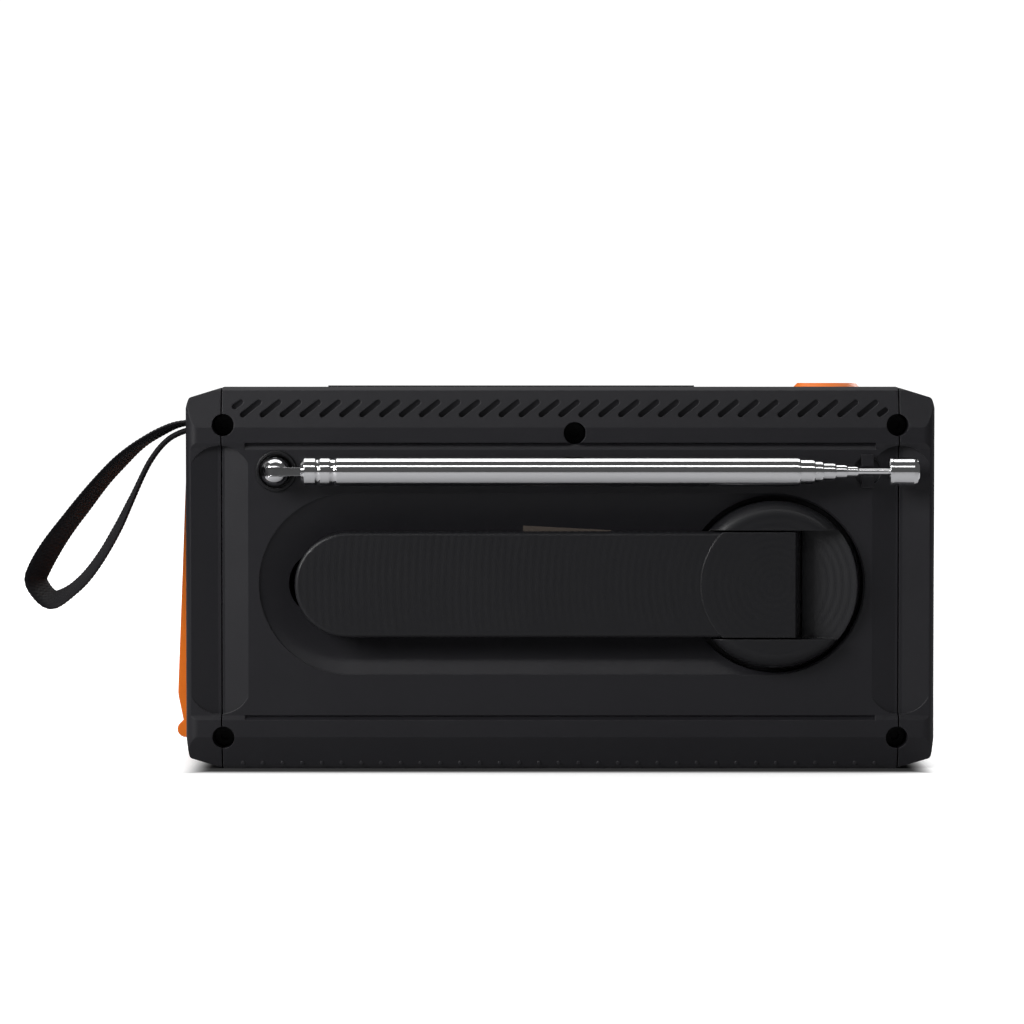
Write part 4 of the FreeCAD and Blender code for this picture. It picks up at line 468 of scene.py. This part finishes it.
# ---------------------------------------------------------------- wrist strap


STRAP_STEPS = 560
STRAP_COLUMNS = 22
STRAP_HALF_THICK = 0.6 * MM
RIB_PITCH = 0.95 * MM
RIB_RISE = 0.09 * MM
RIB_LANES = 5


def strap_path():
    """Centre line of the loop as (out from the case side, up from the top of the slot), in millimetres."""
    outer = [(-2.4, -0.9), (0, -0.6), (4.4, -1.7), (11.7, -5.9), (19, -12.7), (25.9, -21.1), (31.6, -28.7),
             (35.3, -35), (36.1, -38.4)]
    inner = [(33.2, -42.2), (30.3, -42), (25.3, -38.2), (20.9, -32.6), (16.7, -25.4), (13.4, -18.6),
             (9.1, -9.8), (4.8, -4.6), (0, -2.3), (-2.4, -2.6)]
    return outer + inner


def strap_twist(share):
    """Lean of the webbing in degrees, at a share of the way round the loop."""
    marks = ((0, 1), (0.1, 7), (0.2, 15), (0.32, 20), (0.44, 26), (0.52, 22), (0.58, 15), (0.7, 13),
             (0.86, 5), (1, 1))
    for (start, low), (end, high) in zip(marks, marks[1:]):
        if share <= end:
            blend = (share - start) / (end - start)
            return low + (high - low) * blend * blend * (3 - 2 * blend)
    return marks[-1][1]


def curve_point(before, first, last, after, t):
    """Point on a smooth curve from first to last, at share t of the way; its neighbours set the slopes."""
    slope = last - before
    bend = 2 * before - 5 * first + 4 * last - after
    turn = 3 * first - before - 3 * last + after
    return 0.5 * (2 * first + slope * t + bend * t * t + turn * t * t * t)


def spline(points, steps):
    """Even samples along a smooth curve through the points."""
    dense = []
    for index in range(len(points) - 1):
        before = points[max(index - 1, 0)]
        first, last = points[index], points[index + 1]
        after = points[min(index + 2, len(points) - 1)]
        for step in range(40):
            t = step / 40
            dense.append(curve_point(before, first, last, after, t))
    dense.append(points[-1])
    travel = [0.0]
    for index in range(1, len(dense)):
        travel.append(travel[-1] + (dense[index] - dense[index - 1]).length)
    samples = []
    place = 0
    for step in range(steps + 1):
        goal = travel[-1] * step / steps
        while place < len(travel) - 2 and travel[place + 1] < goal:
            place += 1
        part = (goal - travel[place]) / max(travel[place + 1] - travel[place], 1e-12)
        samples.append(dense[place].lerp(dense[place + 1], min(part, 1.0)))
    return samples, travel[-1]


def strap_section(columns, half_width, half_thick):
    """Flat oval outline of the webbing, as (across, thickness, side it faces, share of the rib height)."""
    outline = []
    for face in (1, -1):
        for column in range(columns + 1):
            across = (column / columns * 2 - 1) * face
            fall = (1 - abs(across) ** 6) ** 0.5 if abs(across) < 1 else 0.0
            outline.append((across * half_width, face * half_thick * max(fall, 0.0), face,
                            1 - abs(across) ** 8))
    return outline


def make_wrist_strap(material):
    """Twisted loop of ribbed webbing, swept along its centre line."""
    low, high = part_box("wrist_strap")
    depth = (low[1] + high[1]) / 2
    half_width = (high[1] - low[1]) / 2
    path = [Vector((CASE_SIDE + out * MM, depth, high[2] + up * MM)) for out, up in strap_path()]
    samples, length = spline(path, STRAP_STEPS)
    section = strap_section(STRAP_COLUMNS, half_width, STRAP_HALF_THICK)
    ribs = round(length / RIB_PITCH)
    vertices = []
    for step, centre in enumerate(samples):
        share = step / STRAP_STEPS
        run = (samples[min(step + 1, STRAP_STEPS)] - samples[max(step - 1, 0)]).normalized()
        twist = math.radians(strap_twist(share))
        width_way = Matrix.Rotation(twist, 3, run) @ Vector((0, 1, 0))
        face_way = run.cross(width_way).normalized()
        for across, thick, face, rise in section:
            lane = math.cos(across / half_width * math.pi * RIB_LANES)
            rib = RIB_RISE * math.cos(2 * math.pi * (share * ribs + 0.25 * lane)) * rise * face
            vertices.append(centre + width_way * across + face_way * (thick + rib))
    around = len(section)
    faces = []
    for step in range(STRAP_STEPS):
        for index in range(around):
            after = (index + 1) % around
            faces.append([step * around + index, step * around + after,
                          (step + 1) * around + after, (step + 1) * around + index])
    faces.append(list(range(around)))
    faces.append([STRAP_STEPS * around + index for index in reversed(range(around))])
    piece = mesh_piece("wrist_strap_webbing", vertices, faces, "case", material)
    lay_strap_uv(piece, around, STRAP_STEPS, length, half_width)
    smooth(piece)
    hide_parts("wrist_strap")


def lay_strap_uv(piece, around, steps, length, half_width):
    """U runs along the strap and V around it, both in metres."""
    layer = piece.data.uv_layers.new(name="run")
    for loop in piece.data.loops:
        step, index = divmod(loop.vertex_index, around)
        layer.data[loop.index].uv = (length * step / steps, half_width * 4 * index / around)


# ---------------------------------------------------------------- printed and moulded marks


SEGMENTS = {
    "0": "abcdef", "1": "bc", "2": "abdeg", "3": "abcdg", "4": "bcfg", "5": "acdfg",
    "6": "acdefg", "7": "abc", "8": "abcdefg", "9": "abcdfg",
}


def digit_bars(digit, left, foot, wide, tall, stroke):
    """Bars of one seven-segment digit."""
    right = left + wide
    waist = foot + tall / 2
    head = foot + tall
    ends = {
        "a": ((left, head), (right, head)), "b": ((right, head), (right, waist)),
        "c": ((right, waist), (right, foot)),
        "d": ((left, foot), (right, foot)), "e": ((left, waist), (left, foot)),
        "f": ((left, head), (left, waist)),
        "g": ((left, waist), (right, waist)),
    }
    bars = []
    for letter in SEGMENTS[digit]:
        first, last = Vector(ends[letter][0]), Vector(ends[letter][1])
        gap = (last - first).normalized() * stroke * 0.62
        bars.append(bar(first + gap, last - gap, stroke))
    return bars


def make_display_digits(ink):
    """Tuned frequency and a row of level bars on the display film."""
    low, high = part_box("lcd_module")
    wide, tall = high[0] - low[0], high[2] - low[2]
    outlines = []
    left = low[0] + wide * 0.3
    for number, digit in enumerate("985"):
        outlines += digit_bars(digit, left + number * wide * 0.16, low[2] + tall * 0.34, wide * 0.1,
                               tall * 0.48, 1.1 * MM)
    dot = (left + wide * 0.29, low[2] + tall * 0.34)
    outlines.append(bar(dot, (dot[0] + 1.2 * MM, dot[1]), 1.2 * MM))
    for level in range(12):
        x = low[0] + wide * (0.3 + level * 0.036)
        outlines.append(bar((x, low[2] + tall * 0.12), (x, low[2] + tall * (0.15 + 0.012 * level)), 1.3 * MM))
    battery = (low[0] + wide * 0.08, low[2] + tall * 0.72)
    outlines += [bar((battery[0] + cell * 2.1 * MM, battery[1]),
                     (battery[0] + cell * 2.1 * MM, battery[1] + 3 * MM), 1.5 * MM)
                 for cell in range(4)]
    vertices, faces = plates(outlines, low[1] - 0.02 * MM, 0.06 * MM)
    mesh_piece("display_digits", vertices, faces, "case", ink)


def ring_outline(centre, radius, width, start, end, steps=36):
    """Arc-shaped bar in the XZ plane, angles in degrees."""
    outer = []
    inner = []
    for step in range(steps + 1):
        angle = math.radians(start + (end - start) * step / steps)
        way = Vector((math.cos(angle), math.sin(angle)))
        outer.append(tuple(centre + way * (radius + width / 2)))
        inner.append(tuple(centre + way * (radius - width / 2)))
    return outer + inner[::-1]


def make_key_marks(ink):
    """Simple symbols on the four keys."""
    for key, draw in (("power_key", power_mark), ("band_key", band_mark),
                      ("seek_down_key", lambda spot: seek_mark(spot, -1)),
                      ("seek_up_key", lambda spot: seek_mark(spot, 1))):
        low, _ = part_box(key)
        spot = middle(key)
        vertices, faces = plates(draw(Vector((spot.x, spot.z))), low[1] + 0.02 * MM, 0.07 * MM)
        mesh_piece(key + "_mark", vertices, faces, key, ink)


def power_mark(spot):
    stem = bar((spot.x, spot.y + 0.3 * MM), (spot.x, spot.y + 2.1 * MM), 0.4 * MM)
    return [stem, ring_outline(spot, 1.5 * MM, 0.4 * MM, 125, 415)]


def band_mark(spot):
    return [bar((spot.x - 2 * MM, spot.y + row * MM), (spot.x + 2 * MM, spot.y + row * MM),
                0.4 * MM) for row in (-1.2, 0, 1.2)]


def seek_mark(spot, way):
    tips = []
    for shift in (-0.9, 0.9):
        x = spot.x + shift * MM
        tips.append([(x + way * 0.9 * MM, spot.y), (x - way * 0.7 * MM, spot.y + 1.3 * MM),
                     (x - way * 0.7 * MM, spot.y - 1.3 * MM)])
    return tips


def make_dial_marks(ink):
    """Pointer on each dial and a ring of ticks round it on the case."""
    for knob, body in (("tuning_knob", "tuning_dial"), ("volume_knob", "volume_dial")):
        low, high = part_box(knob)
        spot = Vector((middle(knob).x, middle(knob).z))
        radius = (high[0] - low[0]) / 2
        pointer = bar((spot.x, spot.y + radius * 0.3), (spot.x, spot.y + radius * 0.72), 0.9 * MM)
        vertices, faces = plates([pointer], low[1] + 0.52 * MM, 0.1 * MM)
        mesh_piece(knob + "_pointer", vertices, faces, body, ink)
        ticks = []
        for step in range(21):
            angle = math.radians(240 - 15 * step)
            way = Vector((math.cos(angle), math.sin(angle)))
            reach = 1.9 if step % 5 == 0 else 1.1
            ticks.append(bar(spot + way * (radius + 0.9 * MM), spot + way * (radius + (0.9 + reach) * MM),
                             0.3 * MM))
        vertices, faces = plates(ticks, FRONT_Y + 0.02 * MM, 0.06 * MM)
        mesh_piece(knob + "_scale", vertices, faces, "case", ink)


def make_speaker_cloth(material):
    """Domed woven dust cloth between the grille bars and the cone."""
    low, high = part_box("speaker_grille")
    spot = middle("speaker_grille")
    radius = (high[0] - low[0]) / 2 - 5 * MM
    rings, spokes = 10, 48
    vertices = [(spot.x, high[1] + 0.15 * MM, spot.z)]
    for ring in range(1, rings + 1):
        reach = radius * ring / rings
        back = high[1] + 0.15 * MM + 0.6 * MM * (ring / rings) ** 2
        for spoke in range(spokes):
            angle = 2 * math.pi * spoke / spokes
            vertices.append((spot.x + reach * math.cos(angle), back, spot.z + reach * math.sin(angle)))
    faces = [[0, 1 + spoke, 1 + (spoke + 1) % spokes] for spoke in range(spokes)]
    for ring in range(rings - 1):
        for spoke in range(spokes):
            first = 1 + ring * spokes
            after = (spoke + 1) % spokes
            faces.append([first + spoke, first + spokes + spoke, first + spokes + after, first + after])
    piece = mesh_piece("speaker_cloth", vertices, faces, "case", material)
    smooth(piece)
    shell = piece.modifiers.new("thickness", "SOLIDIFY")
    shell.thickness = 0.12 * MM


def cloth_weave(name):
    """Open black weave."""
    material, tree, shader = new_material(name)
    axes = add(tree, "ShaderNodeSeparateXYZ", {"Vector": place_coords(tree)})
    threads = [math_node(tree, "SINE",
                         math_node(tree, "MULTIPLY", axes.outputs[letter], 2 * math.pi / (0.7 * MM)))
               for letter in ("X", "Z")]
    weave = math_node(tree, "MULTIPLY", threads[0], threads[1])
    connect(tree, shader.inputs["Base Color"],
            mix_colour(tree, scaled(tree, weave, 0.0, 1.0), (0.008, 0.008, 0.008, 1),
                                                         (0.03, 0.03, 0.031, 1)))
    connect(tree, shader.inputs["Roughness"], scaled(tree, weave, 0.7, 0.85))
    connect(tree, shader.inputs["Normal"], bump(tree, weave, 0.1 * MM))
    return material


# ---------------------------------------------------------------- stage, light and camera


BASE_HALF_WIDTH = 79 * MM
# Reach of the contact shadow painted on the floor round the base.
PAINTED_SHADOW_START = 3 * MM
PAINTED_SHADOW_END = 11 * MM


def painted_shadow_fade(tree, coords):
    """0 on the floor under the radio, rising to 1 a little way out: the painted contact shadow where the base
    meets it.
    """
    parts = add(tree, "ShaderNodeSeparateXYZ", {"Vector": coords}).outputs
    beside = math_node(tree, "SUBTRACT", math_node(tree, "ABSOLUTE", parts[0]), BASE_HALF_WIDTH)
    middle_y = (PANEL_Y + FRONT_Y) / 2
    ahead = math_node(tree, "ABSOLUTE", math_node(tree, "SUBTRACT", parts[1], middle_y))
    ahead = math_node(tree, "SUBTRACT", ahead, (PANEL_Y - FRONT_Y) / 2)
    gap = math_node(tree, "MAXIMUM", beside, ahead)
    return add(tree, "ShaderNodeMapRange", {"Value": gap, "From Min": PAINTED_SHADOW_START, "From Max": PAINTED_SHADOW_END},
               interpolation_type="SMOOTHSTEP").outputs[0]


def make_stage():
    """White table that stays white to the lens as it runs back, and lights the radio more gently; a contact
    shadow round the base is painted into its colour and glow.
    """
    data = bpy.data.meshes.new("floor")
    reach = 6.0
    data.from_pydata([(-reach, -reach, 0), (reach, -reach, 0), (reach, reach, 0), (-reach, reach, 0)], [],
                     [[0, 1, 2, 3]])
    floor = bpy.data.objects.new("floor", data)
    bpy.context.collection.objects.link(floor)
    material, tree, shader = new_material("studio_floor")
    coords = add(tree, "ShaderNodeTexCoord").outputs["Object"]
    seen = add(tree, "ShaderNodeLightPath").outputs["Is Camera Ray"]
    tone = noise(tree, coords, 3.0, 2.0)
    pale = mix_colour(tree, tone, (0.88, 0.88, 0.88, 1), (0.9, 0.9, 0.9, 1))
    connect(tree, shader.inputs["Roughness"], scaled(tree, tone, 0.68, 0.74))
    away = add(tree, "ShaderNodeVectorMath", {0: coords}, operation="LENGTH").outputs["Value"]
    glow = add(tree, "ShaderNodeMapRange", {"Value": away, "From Min": 0.15, "From Max": 1.2, "To Min": 0.5,
                                            "To Max": 1.1}).outputs[0]
    unshadowed_share = painted_shadow_fade(tree, coords)
    # Painted shadow: the floor colour goes nearly black close to the base.
    floor_with_painted_shadow = mix_colour(tree, unshadowed_share, (0.05, 0.05, 0.05, 1), pale)
    connect(tree, shader.inputs["Base Color"], mix_colour(tree, seen, (0.4, 0.4, 0.41, 1), floor_with_painted_shadow))
    shader.inputs["Emission Color"].default_value = (1, 1, 1, 1)
    # The glow fades out close to the base too, as part of the painted shadow.
    glow_clear_of_painted_shadow = math_node(tree, "MULTIPLY", glow, unshadowed_share)
    connect(tree, shader.inputs["Emission Strength"], math_node(tree, "MULTIPLY", glow_clear_of_painted_shadow, seen))
    data.materials.append(material)


def make_world():
    """The lens sees a white backdrop; surfaces are lit by a dark studio."""
    world = bpy.data.worlds.new("studio")
    bpy.context.scene.world = world
    world.use_nodes = True
    tree = world.node_tree
    background = tree.nodes["Background"]
    seen = add(tree, "ShaderNodeLightPath").outputs["Is Camera Ray"]
    background.inputs["Color"].default_value = (1, 1, 1, 1)
    connect(tree, background.inputs["Strength"], scaled(tree, seen, 0.075, 1.1))


def area_light(name, place, aim, size, power):
    data = bpy.data.lights.new(name, "AREA")
    data.shape = "RECTANGLE"
    data.size, data.size_y = size
    data.energy = power
    lamp = bpy.data.objects.new(name, data)
    bpy.context.collection.objects.link(lamp)
    lamp.location = place
    lamp.rotation_euler = (Vector(aim) - Vector(place)).to_track_quat("-Z", "Y").to_euler()


def make_lights():
    """Overhead box, a narrow strip above the lens, a key from the strap side, and one for the far side."""
    area_light("top_softbox", (0.05, -0.3, 0.95), (0, 0, 0.04), (1.3, 0.9), 7)
    area_light("strip_softbox", (0.0, 0.78, 0.76), (0, 0.03, 0.06), (1.5, 0.13), 2.0)
    area_light("key_softbox", (0.66, 0.55, 0.45), (0, 0.03, 0.05), (0.4, 0.45), 6.5)
    area_light("far_softbox", (-0.5, -0.9, 0.6), (0, 0, 0.05), (0.8, 0.5), 6)


def make_camera():
    """Level with the radio's top edge, facing the rear, with the case right of centre to fit the strap in."""
    reach = 0.9
    view_width = 0.2401
    aim = Vector((11.3 * MM, PANEL_Y, 60.6 * MM))
    data = bpy.data.cameras.new("camera")
    data.sensor_width = 36
    data.lens = data.sensor_width * reach / view_width
    camera = bpy.data.objects.new("camera", data)
    bpy.context.collection.objects.link(camera)
    camera.location = (aim.x, aim.y + reach, CASE_TOP)
    camera.rotation_euler = (aim - camera.location).to_track_quat("-Z", "Y").to_euler()
    data.clip_start = 0.05
    data.clip_end = 30
    bpy.context.scene.camera = camera


dress_nodes()
make_wrist_strap(webbing("strap_webbing"))
white_ink = pad_print("white_print", (0.75, 0.75, 0.73, 1))
make_display_digits(pad_print("display_ink", (0.02, 0.03, 0.02, 1)))
make_key_marks(white_ink)
make_dial_marks(white_ink)
make_speaker_cloth(cloth_weave("speaker_weave"))
make_stage()
make_world()
make_lights()
make_camera()
bpy.context.scene.view_settings.view_transform = "Standard"
